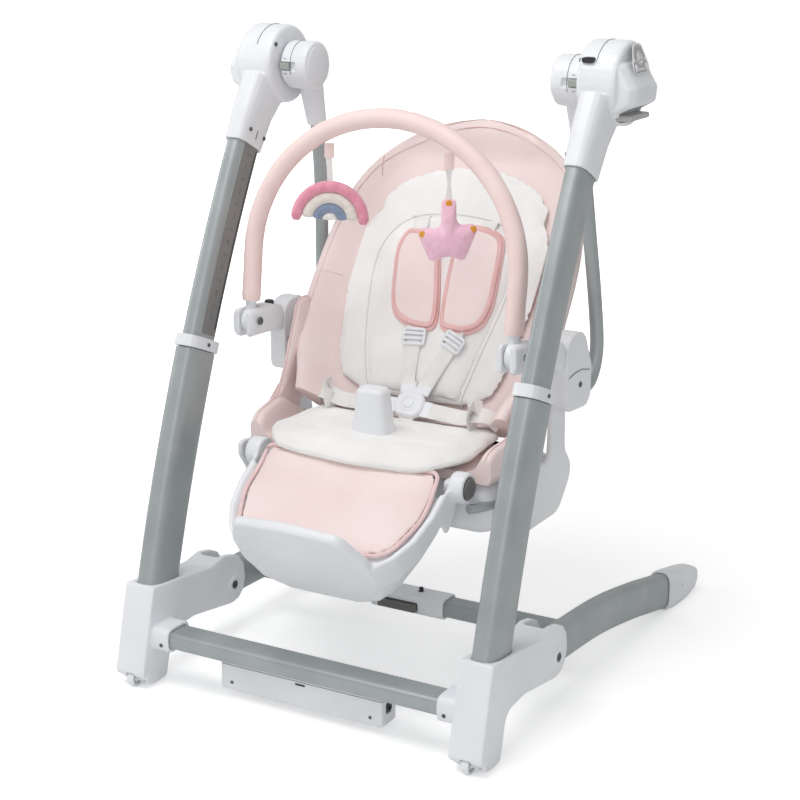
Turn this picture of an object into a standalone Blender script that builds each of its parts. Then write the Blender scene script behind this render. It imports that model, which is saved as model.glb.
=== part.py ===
"""Folding baby swing on two telescoping legs, with a reclining seat, a footrest and a toy bar.

Metres, +Z up. The child faces -Y. Inside the assembly, Y is measured rearward from the line where
the two front wheels touch the floor; the assembly empty then centres the whole footprint on the
origin, so the floor under the middle of the swing is (0, 0, 0).
"""

import math

import bmesh
import bpy
from mathutils import Matrix, Vector

# Footprint
FOOTPRINT_MIDDLE = 0.390  # from the wheel line to the middle of the footprint
LEG_X = 0.284  # centre plane of each leg
WHEEL_RADIUS = 0.013
WHEEL_WIDTH = 0.012

# The legs are arcs of one big circle, so that the upper tubes slide inside the lower ones
LEG_RADIUS = 3.13
LEG_RIM = (0.0637, 0.1431)  # leg axis at the foot's rim (y, z)
LEG_RIM_LEAN = math.radians(15.6)  # from the vertical, growing upwards
LOWER_TUBE = (0.037, 0.019, 0.0016)  # half depth, half width, wall
UPPER_TUBE = (0.031, 0.015, 0.0016)
LOWER_TUBE_SPAN = (-0.080, 0.3585)  # distances along the leg from the rim
RING_SPAN = (0.360, 0.378)
UPPER_TUBE_SPAN = (0.255, 0.745)
COLLAR_START = 0.684

# Front crossbar and control box
BAR_Y, BAR_Z = 0.038, 0.0765
BAR_HALF_DEPTH, BAR_HALF_HEIGHT = 0.023, 0.014
BAR_HALF_LENGTH = 0.250
BOX_LOW = (-0.150, 0.035, 0.013)
BOX_HIGH = (0.128, 0.075, 0.0622)

# Rear folding frame
PIN_Y, PIN_Z = 0.2285, 0.089
PIN_RADIUS = 0.005
REAR_TUBE = (0.0295, 0.0155, 0.0016)
REAR_END_Y = 0.690
REAR_SPLAY = 0.0095  # how far the tube runs outwards by its rear end
REAR_BAR_Y, REAR_BAR_Z = 0.345, 0.0755
REAR_BAR_HALF_DEPTH, REAR_BAR_HALF_HEIGHT = 0.019, 0.013
LATCH_X = (-0.062, 0.068)

# Swing hubs
HUB_Y, HUB_Z = 0.4126, 0.894
HUB_RADIUS = 0.0605
HUB_INNER_X, HUB_OUTER_X = 0.2555, 0.317
HUB_CAVITY_RADIUS = 0.045
NOSE_Y = (0.362, 0.458)
POD_RADIUS = 0.037
POD_X = (0.2055, 0.2525)
SHAFT_RADIUS = 0.006

# Swing arms and seat
ARM_RADIUS = 0.0105
JOINT_X = (0.2315, 0.2595)
CHEEK_X = (0.2215, 0.2305)
PIVOT_X, PIVOT_Y, PIVOT_Z = 0.175, 0.183, 0.338  # footrest pivots
FOOTREST_SLOPE = math.radians(34.0)
BACK_Y, BACK_Z = 0.260, 0.365  # foot of the line along the backrest's front edge
BACK_LEAN = math.radians(36.7)
RECLINE_Y, RECLINE_Z = 0.360, 0.400

# Toy bar
TOYBAR_X = 0.2227
TOYBAR_PIVOT = (0.2385, 0.525)
TOYBAR_LEAN = math.radians(7.0)
SLEEVE_RADIUS = 0.014
ARCH_RISE = 0.2096
TOY_X = 0.100

GAP = 0.0004  # clearance between fixed neighbours

WHITE, GREY_METAL, DARK, GREY = "#E6E8EC", "#9CA3A2", "#2A2B2D", "#8F918F"
PINK, DEEP_PINK, CREAM, STEEL = "#EBD0CC", "#F2B8BD", "#EFEDEA", "#B9BCBE"


# ---------------------------------------------------------------- scene helpers

def clear_scene():
    for obj in list(bpy.data.objects):
        bpy.data.objects.remove(obj, do_unlink=True)


def new_collection(name, hidden=False):
    group = bpy.data.collections.new(name)
    group.hide_render = hidden
    bpy.context.scene.collection.children.link(group)
    return group


def to_linear(hex_colour):
    channels = [int(hex_colour[i:i + 2], 16) / 255 for i in (1, 3, 5)]
    return [c / 12.92 if c <= 0.04045 else ((c + 0.055) / 1.055) ** 2.4 for c in channels] + [1.0]


def material(name, hex_colour, roughness, metallic=0.0):
    mat = bpy.data.materials.new(name)
    mat.use_nodes = True
    shader = mat.node_tree.nodes["Principled BSDF"]
    shader.inputs["Base Color"].default_value = to_linear(hex_colour)
    shader.inputs["Roughness"].default_value = roughness
    shader.inputs["Metallic"].default_value = metallic
    return mat


def pivot(name, location=(0, 0, 0)):
    """An empty on a joint's axis, in the assembly's own coordinates."""
    empty = bpy.data.objects.new(name, None)
    empty.empty_display_size = 0.03
    empty.location = location
    PARTS.objects.link(empty)
    if name != "assembly":
        empty.parent = ASSEMBLY
    return empty


def finish(obj, name, looks, on=None, smooth=35.0):
    """Names a finished piece, gives it its material and hangs it on its pivot."""
    obj.name = name
    obj.data.name = name
    obj.data.materials.clear()
    obj.data.materials.append(material(name, *looks))
    holder = on or ASSEMBLY
    obj.parent = holder
    if holder is not ASSEMBLY:
        obj.location = obj.location - holder.location
    if obj.type == "MESH":
        obj.data.shade_smooth()
        obj.data.set_sharp_from_angle(angle=math.radians(smooth))
    return obj


def link(obj):
    PARTS.objects.link(obj)
    return obj


def as_cutter(obj):
    PARTS.objects.unlink(obj)
    CUTTERS.objects.link(obj)
    obj.hide_render = True
    obj.display_type = "WIRE"
    obj.parent = ASSEMBLY
    return obj


def boolean(obj, tool, operation, solver="EXACT"):
    """Adds a Boolean; the tool becomes a hidden helper."""
    as_cutter(tool)
    step = obj.modifiers.new(operation.lower(), "BOOLEAN")
    step.operation = operation
    step.object = tool
    step.solver = solver
    return obj


def cut(obj, *tools):
    for tool in tools:
        boolean(obj, tool, "DIFFERENCE")
    return obj


def add(obj, *tools, solver="EXACT"):
    for tool in tools:
        boolean(obj, tool, "UNION", solver)
    return obj


def bevel(obj, width, segments=2, angle=30.0):
    step = obj.modifiers.new("bevel", "BEVEL")
    step.width = width
    step.segments = segments
    step.limit_method = "ANGLE"
    step.angle_limit = math.radians(angle)
    return obj


# ---------------------------------------------------------------- shape helpers

def object_from(bm, name="piece"):
    mesh = bpy.data.meshes.new(name)
    bm.to_mesh(mesh)
    bm.free()
    return link(bpy.data.objects.new(name, mesh))


def box(low, high, rounding=0.0, segments=2):
    """A block between two corners, its mesh centred on the object's origin."""
    size = [h - l for l, h in zip(low, high)]
    bm = bmesh.new()
    bmesh.ops.create_cube(bm, size=1.0)
    bmesh.ops.scale(bm, vec=size, verts=bm.verts)
    obj = object_from(bm)
    obj.location = [(l + h) / 2 for l, h in zip(low, high)]
    return bevel(obj, rounding, segments) if rounding else obj


def rod(start, end, radius, sides=24, end_radius=None):
    """A cylinder or cone between two points."""
    start, end = Vector(start), Vector(end)
    bm = bmesh.new()
    bmesh.ops.create_cone(
        bm, cap_ends=True, segments=sides, radius1=radius,
        radius2=radius if end_radius is None else end_radius, depth=(end - start).length,
    )
    turn = (end - start).to_track_quat("Z", "Y").to_matrix()
    bmesh.ops.rotate(bm, cent=(0, 0, 0), matrix=turn, verts=bm.verts)
    obj = object_from(bm)
    obj.location = (start + end) / 2
    return obj


def loft(rings):
    """A closed skin over rings with equal numbers of points, capped at both ends."""
    bm = bmesh.new()
    rows = [[bm.verts.new(point) for point in ring] for ring in rings]
    count = len(rows[0])
    for first, second in zip(rows, rows[1:]):
        for i in range(count):
            j = (i + 1) % count
            bm.faces.new((first[i], first[j], second[j], second[i]))
    bm.faces.new(rows[0])
    bm.faces.new(rows[-1])
    bmesh.ops.recalc_face_normals(bm, faces=bm.faces)
    return object_from(bm)


def oval(centre, across, along, half_across, half_along, power=2.6, count=20):
    """A superellipse around a centre, in the plane of two unit vectors."""
    centre, across, along = Vector(centre), Vector(across), Vector(along)
    ring = []
    for i in range(count):
        angle = 2 * math.pi * i / count
        c, s = math.cos(angle), math.sin(angle)
        a = half_across * math.copysign(abs(c) ** (2 / power), c)
        b = half_along * math.copysign(abs(s) ** (2 / power), s)
        ring.append(centre + across * a + along * b)
    return ring


def arc_corners(corners, steps=4):
    """Turns (u, v, radius) corners into an outline whose corners are arcs."""
    points = []
    count = len(corners)
    for i, (u, v, radius) in enumerate(corners):
        here = Vector((u, v))
        before = (Vector(corners[i - 1][:2]) - here).normalized()
        after = (Vector(corners[(i + 1) % count][:2]) - here).normalized()
        half = before.angle(after) / 2
        reach = radius / math.tan(half)
        middle = here + (before + after).normalized() * (radius / math.sin(half))
        start, end = here + before * reach - middle, here + after * reach - middle
        swing = start.angle_signed(end)
        for k in range(steps + 1):
            turn = -swing * k / steps
            points.append(middle + Matrix.Rotation(turn, 2) @ start)
    return points


def side_plate(corners, low_x, high_x, rounding=0.0, segments=2, steps=4):
    """A plate with an outline in Y and Z, extruded across X between two planes."""
    curve = bpy.data.curves.new("outline", "CURVE")
    curve.dimensions = "2D"
    curve.fill_mode = "BOTH"
    curve.extrude = (high_x - low_x) / 2
    spline = curve.splines.new("POLY")
    points = arc_corners(corners, steps)
    spline.points.add(len(points) - 1)
    for slot, point in zip(spline.points, points):
        slot.co = (point.x, point.y, 0, 1)
    spline.use_cyclic_u = True
    source = link(bpy.data.objects.new("outline", curve))
    source.rotation_euler = (math.pi / 2, 0, math.pi / 2)
    source.location = ((low_x + high_x) / 2, 0, 0)
    obj = mesh_of(source)
    return bevel(obj, rounding, segments) if rounding else obj


def mesh_of(source):
    """A mesh object from a curve object, its caps welded to its sides and its turn applied."""
    bpy.context.view_layer.update()
    graph = bpy.context.evaluated_depsgraph_get()
    mesh = bpy.data.meshes.new_from_object(source.evaluated_get(graph))
    place = source.matrix_world.copy()
    bm = bmesh.new()
    bm.from_mesh(mesh)
    bmesh.ops.remove_doubles(bm, verts=bm.verts, dist=1e-5)
    bmesh.ops.transform(bm, matrix=place, verts=bm.verts)
    bmesh.ops.recalc_face_normals(bm, faces=bm.faces)
    bm.to_mesh(mesh)
    bm.free()
    curve = source.data
    bpy.data.objects.remove(source)
    bpy.data.curves.remove(curve)
    return link(bpy.data.objects.new("piece", mesh))


def path_curve(points, filled=True):
    curve = bpy.data.curves.new("path", "CURVE")
    curve.dimensions = "3D"
    curve.twist_mode = "Z_UP"
    curve.use_fill_caps = filled
    spline = curve.splines.new("POLY")
    spline.points.add(len(points) - 1)
    for slot, point in zip(spline.points, points):
        slot.co = (*point, 1)
    return link(bpy.data.objects.new("path", curve))


def round_tube(points, radius, resolution=4):
    source = path_curve(points)
    source.data.bevel_depth = radius
    source.data.bevel_resolution = resolution
    return mesh_of(source)


def oval_tube(points, half_depth, half_width, wall=0.0, power=3.2, count=18):
    """A tube of oval section: its width lies level, its depth square to it. No wall means solid."""
    section = bpy.data.curves.new("section", "CURVE")
    section.dimensions = "2D"
    ring = section.splines.new("POLY")
    outline = oval((0, 0, 0), (1, 0, 0), (0, 1, 0), half_width, half_depth, power, count)
    ring.points.add(count - 1)
    for slot, point in zip(ring.points, outline):
        slot.co = (point.x, point.y, 0, 1)
    ring.use_cyclic_u = True
    guide = link(bpy.data.objects.new("section", section))
    source = path_curve(points, filled=wall == 0)
    source.data.bevel_mode = "OBJECT"
    source.data.bevel_object = guide
    obj = mesh_of(source)
    bpy.data.objects.remove(guide)
    bpy.data.curves.remove(section)
    if wall:
        step = obj.modifiers.new("wall", "SOLIDIFY")
        step.thickness = wall
        step.offset = -1
        step.use_even_offset = True
    return obj


def smooth_path(points, steps):
    """Points along a Catmull-Rom curve through the given ones."""
    points = [Vector(p) for p in points]
    ends = [2 * points[0] - points[1]] + points + [2 * points[-1] - points[-2]]
    path = []
    for a, b, c, d in zip(ends, ends[1:], ends[2:], ends[3:]):
        for k in range(steps):
            t = k / steps
            path.append(0.5 * (2 * b + (c - a) * t + (2 * a - 5 * b + 4 * c - d) * t ** 2
                               + (3 * b - a - 3 * c + d) * t ** 3))
    return path + [points[-1]]


# ---------------------------------------------------------------- reference lines

def leg_centre():
    """The middle of the circle that both legs follow, as (y, z)."""
    lean = LEG_RIM_LEAN
    return (LEG_RIM[0] + LEG_RADIUS * math.cos(lean), LEG_RIM[1] - LEG_RADIUS * math.sin(lean))


def leg_point(distance, side=1, forward=0.0):
    """A point on a leg's axis, at a distance above the foot's rim along the arc."""
    lean = LEG_RIM_LEAN + distance / LEG_RADIUS
    y, z = leg_centre()
    reach = LEG_RADIUS + forward
    return Vector((side * LEG_X, y - reach * math.cos(lean), z + reach * math.sin(lean)))


def leg_run(span, side, pieces):
    low, high = span
    return [leg_point(low + (high - low) * i / pieces, side) for i in range(pieces + 1)]


def leg_ring(distance, side, half_depth, half_width, power=3.2, shift=0.0, count=18):
    lean = LEG_RIM_LEAN + distance / LEG_RADIUS
    along = Vector((0, math.cos(lean), -math.sin(lean)))
    centre = leg_point(distance, side) + along * shift
    return oval(centre, (1, 0, 0), along, half_width, half_depth, power, count)


def back_point(x, along, depth):
    """A point from the backrest's own coordinates: along its lean, and forward of its front edge."""
    lean = BACK_LEAN
    return Vector((
        x,
        BACK_Y + along * math.sin(lean) - depth * math.cos(lean),
        BACK_Z + along * math.cos(lean) + depth * math.sin(lean),
    ))


def rest_point(x, along, height):
    """A point from the footrest's own coordinates: down its slope from the pivot, and above it."""
    slope = FOOTREST_SLOPE
    return Vector((
        x,
        PIVOT_Y - along * math.cos(slope) - height * math.sin(slope),
        PIVOT_Z - along * math.sin(slope) + height * math.cos(slope),
    ))


def blend_values(keys, at):
    """A smooth value between (place, value) keys."""
    for (p, a), (q, b) in zip(keys, keys[1:]):
        if at <= q:
            t = min(1.0, max(0.0, (at - p) / (q - p)))
            return a + (b - a) * t * t * (3 - 2 * t)
    return keys[-1][1]


# ---------------------------------------------------------------- base

def front_crossbar():
    ends = [(-BAR_HALF_LENGTH, BAR_Y, BAR_Z), (BAR_HALF_LENGTH, BAR_Y, BAR_Z)]
    bar = oval_tube(ends, BAR_HALF_HEIGHT, BAR_HALF_DEPTH, 0.0014, 4.0)
    finish(bar, "front_crossbar", (GREY_METAL, 0.35, 0.8))


def lower_leg_tube(side, word):
    tube = oval_tube(leg_run(LOWER_TUBE_SPAN, side, 7), *LOWER_TUBE)
    finish(tube, f"lower_leg_tube_{word}", (GREY_METAL, 0.35, 0.8))


def tube_ring(side, word):
    half_depth, half_width, _ = UPPER_TUBE
    low, high = RING_SPAN
    ring = loft([leg_ring(s, side, LOWER_TUBE[0] + 0.0035, LOWER_TUBE[1] + 0.0035)
                 for s in (low, high)])
    hole = loft([leg_ring(s, side, half_depth + GAP, half_width + GAP)
                 for s in (low - 0.01, high + 0.01)])
    cut(ring, hole)
    finish(ring, f"tube_ring_{word}", (WHITE, 0.45))


FOOT_OUTLINE = [
    (-0.0135, 0.022, 0.009), (0.0205, 0.1550, 0.003), (0.100, 0.1475, 0.030),
    (0.165, 0.1385, 0.030), (0.203, 0.1450, 0.020), (0.262, 0.1330, 0.040),
    (0.256, 0.0580, 0.030), (0.215, 0.0600, 0.030), (0.120, 0.0745, 0.040),
    (0.064, 0.0700, 0.024), (0.0465, 0.0040, 0.007), (0.0120, 0.0040, 0.008),
]
FOOT_HALF_WIDTH = 0.026
SOCKET_X = 0.228


def foot(side, word):
    low, high = LEG_X - FOOT_HALF_WIDTH, LEG_X + FOOT_HALF_WIDTH
    if side < 0:
        low, high = -high, -low
    body = side_plate(FOOT_OUTLINE, low, high, 0.007, 2, 3)
    socket_ends = [(side * SOCKET_X, BAR_Y, BAR_Z), (side * LEG_X, BAR_Y, BAR_Z)]
    add(body, oval_tube(socket_ends, BAR_HALF_HEIGHT + 0.006, BAR_HALF_DEPTH + 0.005, 0, 4.0))
    leg_hole = loft([leg_ring(s, side, LOWER_TUBE[0] + GAP, LOWER_TUBE[1] + GAP)
                     for s in (-0.0805, 0.0, 0.03)])
    bar_ends = [(side * (SOCKET_X - 0.01), BAR_Y, BAR_Z),
                (side * (BAR_HALF_LENGTH + GAP), BAR_Y, BAR_Z)]
    bar_hole = oval_tube(bar_ends, BAR_HALF_HEIGHT + GAP, BAR_HALF_DEPTH + GAP, 0, 4.0)
    slot_half = WHEEL_WIDTH / 2 + 0.0015
    wheel_slot = rod((side * LEG_X - slot_half, 0, WHEEL_RADIUS),
                     (side * LEG_X + slot_half, 0, WHEEL_RADIUS), WHEEL_RADIUS + 0.0025, 24)
    wheel_way = box((side * LEG_X - slot_half, -0.03, -0.01),
                    (side * LEG_X + slot_half, 0.012, WHEEL_RADIUS))
    axle_hole = rod((side * LEG_X - 0.0185, 0, WHEEL_RADIUS),
                    (side * LEG_X + 0.0185, 0, WHEEL_RADIUS), 0.0028, 12)
    tube_way = box((side * LEG_X - REAR_TUBE[1] - 0.0010, PIN_Y - 0.0310, 0.02),
                   (side * LEG_X + REAR_TUBE[1] + 0.0010, 0.30, 0.19))
    pin_hole = rod((side * LEG_X - 0.0225, PIN_Y, PIN_Z), (side * LEG_X + 0.0225, PIN_Y, PIN_Z),
                   PIN_RADIUS + 0.0003, 16)
    cut(body, leg_hole, bar_hole, wheel_slot, wheel_way, axle_hole, tube_way, pin_hole)
    finish(body, f"foot_{word}", (WHITE, 0.45))


def front_wheel(side, word):
    hub = pivot(f"wheel_{word}_axis", (side * LEG_X, 0, WHEEL_RADIUS))
    x = side * LEG_X
    wheel = rod((x - WHEEL_WIDTH / 2, 0, WHEEL_RADIUS), (x + WHEEL_WIDTH / 2, 0, WHEEL_RADIUS),
                WHEEL_RADIUS, 24)
    bevel(wheel, 0.002, 1)
    add(wheel, rod((x - 0.018, 0, WHEEL_RADIUS), (x + 0.018, 0, WHEEL_RADIUS), 0.0025, 12))
    finish(wheel, f"front_wheel_{word}", (WHITE, 0.4), hub)


def control_box():
    body = box(BOX_LOW, BOX_HIGH, 0.003, 2)
    recess = box((BOX_HIGH[0] - 0.006, 0.047, 0.030), (BOX_HIGH[0] + 0.01, 0.063, 0.046))
    cut(body, recess)
    finish(body, "control_box", (WHITE, 0.45))


def dc_jack():
    x = BOX_HIGH[0]
    socket = rod((x - 0.0055, 0.055, 0.038), (x + 0.0003, 0.055, 0.038), 0.0070, 24)
    cut(socket, rod((x - 0.004, 0.055, 0.038), (x + 0.01, 0.055, 0.038), 0.0038, 16))
    finish(socket, "dc_jack", (DARK, 0.4))


# ---------------------------------------------------------------- rear frame

def rear_run(side):
    """The rear tube's axis: level out of the foot, then arching down to the floor."""
    shape = [(PIN_Y, PIN_Z), (0.30, 0.0885), (0.42, 0.0805), (0.54, 0.0615), (0.62, 0.0450),
             (REAR_END_Y, 0.0312)]
    spread = REAR_SPLAY / (REAR_END_Y - PIN_Y)
    return smooth_path([(side * (LEG_X + (y - PIN_Y) * spread), y, z) for y, z in shape], 2)


def rear_tube(side, word, fold):
    half_depth, half_width, wall = REAR_TUBE
    tube = oval_tube(rear_run(side), half_depth, half_width, wall)
    x = side * LEG_X
    end = rod((x - half_width, PIN_Y, PIN_Z), (x + half_width, PIN_Y, PIN_Z), half_depth, 24)
    pin = rod((x - 0.022, PIN_Y, PIN_Z), (x + 0.022, PIN_Y, PIN_Z), PIN_RADIUS, 16)
    add(tube, end, pin)
    finish(tube, f"rear_tube_{word}", (GREY_METAL, 0.35, 0.8), fold)


def rear_cap(side, word, fold):
    shape = [(0.664, 0.0365, 0.0335, 0.0195, 0.2930), (0.690, 0.0322, 0.0335, 0.0205, 0.2940),
             (0.735, 0.0277, 0.0290, 0.0205, 0.2960), (0.772, 0.0255, 0.0225, 0.0185, 0.2970),
             (0.792, 0.0235, 0.0150, 0.0140, 0.2970), (0.800, 0.0225, 0.0070, 0.0070, 0.2970)]
    cap = loft([oval((side * x, y, z), (1, 0, 0), (0, 0, 1), half_x, half_z, 3.6)
                for y, z, half_z, half_x, x in shape])
    run = rear_run(side)
    beyond = run[-1] + (run[-1] - run[-2]).normalized() * 0.0008
    hole = oval_tube(run[-4:-1] + [beyond], REAR_TUBE[0] + GAP, REAR_TUBE[1] + GAP)
    cut(cap, hole, box((side * 0.294 - 0.05, 0.6, -0.02), (side * 0.294 + 0.05, 0.82, 0.0)))
    finish(cap, f"rear_cap_{word}", (WHITE, 0.45), fold)


def rear_crossbar(fold):
    reach = LEG_X + REAR_SPLAY * (REAR_BAR_Y - PIN_Y) / (REAR_END_Y - PIN_Y) - REAR_TUBE[1] - 0.0007
    ends = [(-reach, REAR_BAR_Y, REAR_BAR_Z), (reach, REAR_BAR_Y, REAR_BAR_Z)]
    bar = oval_tube(ends, REAR_BAR_HALF_HEIGHT, REAR_BAR_HALF_DEPTH, 0.0014, 4.0)
    finish(bar, "rear_crossbar", (GREY_METAL, 0.35, 0.8), fold)


LEVER_X = (-0.046, 0.022)
LATCH_BUTTON_X = 0.018


def latch(fold):
    low, high = LATCH_X
    housing = oval_tube([(low, REAR_BAR_Y, REAR_BAR_Z), (high, REAR_BAR_Y, REAR_BAR_Z)],
                        REAR_BAR_HALF_HEIGHT + 0.0042, REAR_BAR_HALF_DEPTH + 0.0042, 0, 4.0)
    hole = oval_tube([(low - 0.01, REAR_BAR_Y, REAR_BAR_Z), (high + 0.01, REAR_BAR_Y, REAR_BAR_Z)],
                     REAR_BAR_HALF_HEIGHT + GAP, REAR_BAR_HALF_DEPTH + GAP, 0, 4.0)
    front = REAR_BAR_Y - REAR_BAR_HALF_DEPTH
    pocket = box((LEVER_X[0] - 0.001, front - 0.02, 0.0640), (LEVER_X[1] + 0.001, front, 0.0800))
    top = REAR_BAR_Z + REAR_BAR_HALF_HEIGHT
    well = rod((LATCH_BUTTON_X, REAR_BAR_Y, top - 0.001), (LATCH_BUTTON_X, REAR_BAR_Y, top + 0.02),
               0.0042, 16)
    cut(housing, hole, pocket, well)
    finish(housing, "latch_housing", (WHITE, 0.45), fold)

    hinge = pivot("latch_lever_axis", (0, front - 0.002, 0.0780))
    lever = box((LEVER_X[0], front - 0.0105, 0.0650), (LEVER_X[1], front - 0.0007, 0.0780), 0.002)
    finish(lever, "latch_lever", ("#5C5A58", 0.4), hinge)

    slide = pivot("latch_button_axis", (LATCH_BUTTON_X, REAR_BAR_Y, top))
    button = rod((LATCH_BUTTON_X, REAR_BAR_Y, top + 0.0032),
                 (LATCH_BUTTON_X, REAR_BAR_Y, top + 0.0105), 0.0036, 16)
    bevel(button, 0.0008, 1)
    finish(button, "latch_button", (DARK, 0.45), slide)


# ---------------------------------------------------------------- upper frame

def upper_leg_tube(side, word, height):
    tube = oval_tube(leg_run(UPPER_TUBE_SPAN, side, 8), *UPPER_TUBE)
    finish(tube, f"upper_leg_tube_{word}", (GREY_METAL, 0.35, 0.8), height)


def hub_nose(side):
    """The raised housing on the hub's outer face: a sloping face over a ledge."""
    profile = [(0.296, 0.9500), (0.3215, 0.9470), (0.3320, 0.9060), (0.3425, 0.8900),
               (0.3405, 0.8680), (0.3180, 0.8560), (0.296, 0.8560)]
    front, back = NOSE_Y
    middle = (front + back) / 2
    rings = []
    for y, pinch in ((front, 0.80), (front + 0.012, 1.0), (back - 0.012, 1.0), (back, 0.80)):
        top = blend_values([(front, 0.9250), (middle, 0.9500), (back, 0.9250)], y) - 0.9500
        rings.append([Vector((side * (0.296 + (x - 0.296) * pinch), y, z + top * (z > 0.93)))
                      for x, z in profile])
    return bevel(loft(rings), 0.004, 2)


def collar(side):
    """The leg socket, growing out of the leg's line into the hub."""
    rings = [leg_ring(COLLAR_START, side, 0.0350, 0.0195, 3.2),
             leg_ring(COLLAR_START + 0.055, side, 0.0375, 0.0215, 3.2, 0.002),
             leg_ring(COLLAR_START + 0.110, side, 0.0450, 0.0240, 3.0, 0.012)]
    return loft(rings)


LEVER_Y = (0.376, 0.444)


def hub_housing(side, word, height):
    inner, outer = side * HUB_INNER_X, side * HUB_OUTER_X
    disc = bevel(rod((inner, HUB_Y, HUB_Z), (outer, HUB_Y, HUB_Z), HUB_RADIUS, 32), 0.007, 2)
    add(disc, collar(side), hub_nose(side))
    tube_hole = loft([leg_ring(s, side, UPPER_TUBE[0] + GAP, UPPER_TUBE[1] + GAP)
                      for s in (COLLAR_START - 0.01, UPPER_TUBE_SPAN[1] + 0.0006)])
    bore = rod((side * (HUB_INNER_X - 0.01), HUB_Y, HUB_Z), (side * 0.305, HUB_Y, HUB_Z),
               SHAFT_RADIUS + 0.0006, 20)
    cavity = rod((side * 0.2635, HUB_Y + 0.006, HUB_Z + 0.006),
                 (side * 0.306, HUB_Y + 0.006, HUB_Z + 0.006), 0.0400, 24)
    pocket = sorted_box((side * 0.3085, LEVER_Y[0] - 0.001, 0.8420),
                        (side * 0.3360, LEVER_Y[1] + 0.001, 0.8630))
    cut(disc, tube_hole, cavity, bore, box(*pocket))
    finish(disc, f"hub_housing_{word}", (WHITE, 0.4), height)


def sorted_box(a, b):
    """Puts two opposite corners in order, low before high."""
    return [min(p, q) for p, q in zip(a, b)], [max(p, q) for p, q in zip(a, b)]


def release_lever(side, word):
    slide = pivot(f"release_lever_{word}_axis", (side * 0.322, HUB_Y, 0.850))
    low, high = sorted_box((side * 0.3095, LEVER_Y[0], 0.8445), (side * 0.3330, LEVER_Y[1], 0.8530))
    finish(box(low, high, 0.002, 1), f"release_lever_{word}", (GREY, 0.45), slide)


def drive_motor(height):
    y, z = HUB_Y + 0.006, HUB_Z + 0.030
    can = rod((0.266, y, z), (0.298, y, z), 0.0130, 24)
    plate = box((0.297, y - 0.014, z - 0.011), (0.3005, y + 0.014, z + 0.011))
    spindle = rod((0.2645, y, z), (0.270, y, z), 0.003, 12)
    add(can, plate, spindle)
    finish(can, "drive_motor", (STEEL, 0.35, 0.9), height)


# The console's face: a plane that slopes outwards as it goes down
PANEL_TOP = Vector((0.3215, 0, 0.9470))
PANEL_LOW = Vector((0.3320, 0, 0.9060))


def panel_frame():
    """(origin, rearward, up, outward) of the console's face."""
    up = (PANEL_TOP - PANEL_LOW).normalized()
    rear = Vector((0, 1, 0))
    out = rear.cross(up)
    middle = (PANEL_TOP + PANEL_LOW) / 2 + Vector((0, sum(NOSE_Y) / 2, 0))
    return middle, rear, up, out


def on_panel(across, above, proud):
    middle, rear, up, out = panel_frame()
    return middle + rear * across + up * above + out * proud


def console_panel(height):
    corners = [(-0.030, -0.016, 0.008), (-0.012, 0.022, 0.010), (0.012, 0.022, 0.010),
               (0.030, -0.016, 0.008)]
    outline = arc_corners(corners, 3)
    panel = loft([[on_panel(p.x, p.y, h) for p in outline] for h in (0.0003, 0.0022)])
    wells = [loft([oval(on_panel(a, b, h), panel_frame()[1], panel_frame()[2],
                        r + 0.0004, t + 0.0004, 2.0, 16) for h in (-0.003, 0.003)])
             for _, a, b, r, t in CONSOLE_BUTTONS]
    cut(panel, *wells)
    finish(panel, "console_panel", ("#B5B5B3", 0.4), height)


CONSOLE_BUTTONS = [  # name, across and above the panel's middle, half sizes
    ("centre", 0.000, 0.0030, 0.0085, 0.0095),
    ("left", -0.0185, -0.0095, 0.0036, 0.0056),
    ("right", 0.0185, -0.0095, 0.0036, 0.0056),
]


def console_button(word, across, above, half_across, half_up):
    slide = pivot(f"console_button_{word}_axis", on_panel(across, above, 0))
    _, rear, up, _ = panel_frame()
    button = loft([oval(on_panel(across, above, h), rear, up, half_across * s, half_up * s, 2.0, 16)
                   for h, s in ((0.0016, 1.0), (0.0030, 1.0), (0.0036, 0.86))])
    finish(button, f"console_button_{word}", (WHITE, 0.35), slide)


# ---------------------------------------------------------------- swing

ARM_PATH = [(0.2265, 0.4330, 0.862), (0.2280, 0.4400, 0.820), (0.2310, 0.4550, 0.740),
            (0.2355, 0.4660, 0.660), (0.2410, 0.4750, 0.580), (0.2450, 0.4815, 0.505),
            (0.2455, 0.4775, 0.468), (0.2455, 0.4600, 0.442), (0.2455, 0.4350, 0.4340),
            (0.2455, 0.4120, 0.4330)]


def arm_run(side):
    return smooth_path([(side * x, y, z) for x, y, z in ARM_PATH], 2)


def swing_shaft(side, word, swing):
    shaft = rod((side * 0.2120, HUB_Y, HUB_Z), (side * 0.3020, HUB_Y, HUB_Z), SHAFT_RADIUS, 20)
    finish(shaft, f"swing_shaft_{word}", (STEEL, 0.3, 0.9), swing)


def pod(side, word, swing):
    inner, outer = side * POD_X[0], side * POD_X[1]
    body = bevel(rod((inner, HUB_Y, HUB_Z), (outer, HUB_Y, HUB_Z), POD_RADIUS, 28), 0.005, 2)
    run = arm_run(side)
    base = Vector((side * 0.2285, HUB_Y + 0.012, HUB_Z - 0.014))
    add(body, rod(base, run[2] + (run[3] - run[2]) * 0.5, 0.0200, 20, 0.0155))
    arm_hole = round_tube(run[:6], ARM_RADIUS + GAP)
    bore = rod((side * 0.2114, HUB_Y, HUB_Z), (side * 0.2600, HUB_Y, HUB_Z), SHAFT_RADIUS + 0.0002, 20)
    groove = sorted_box((side * 0.2245, HUB_Y - POD_RADIUS - 0.01, HUB_Z - 0.0062),
                        (side * 0.2600, HUB_Y - 0.0320, HUB_Z + 0.0062))
    cut(body, arm_hole, bore, box(*groove))
    finish(body, f"pod_{word}", (WHITE, 0.4), swing)


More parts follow.
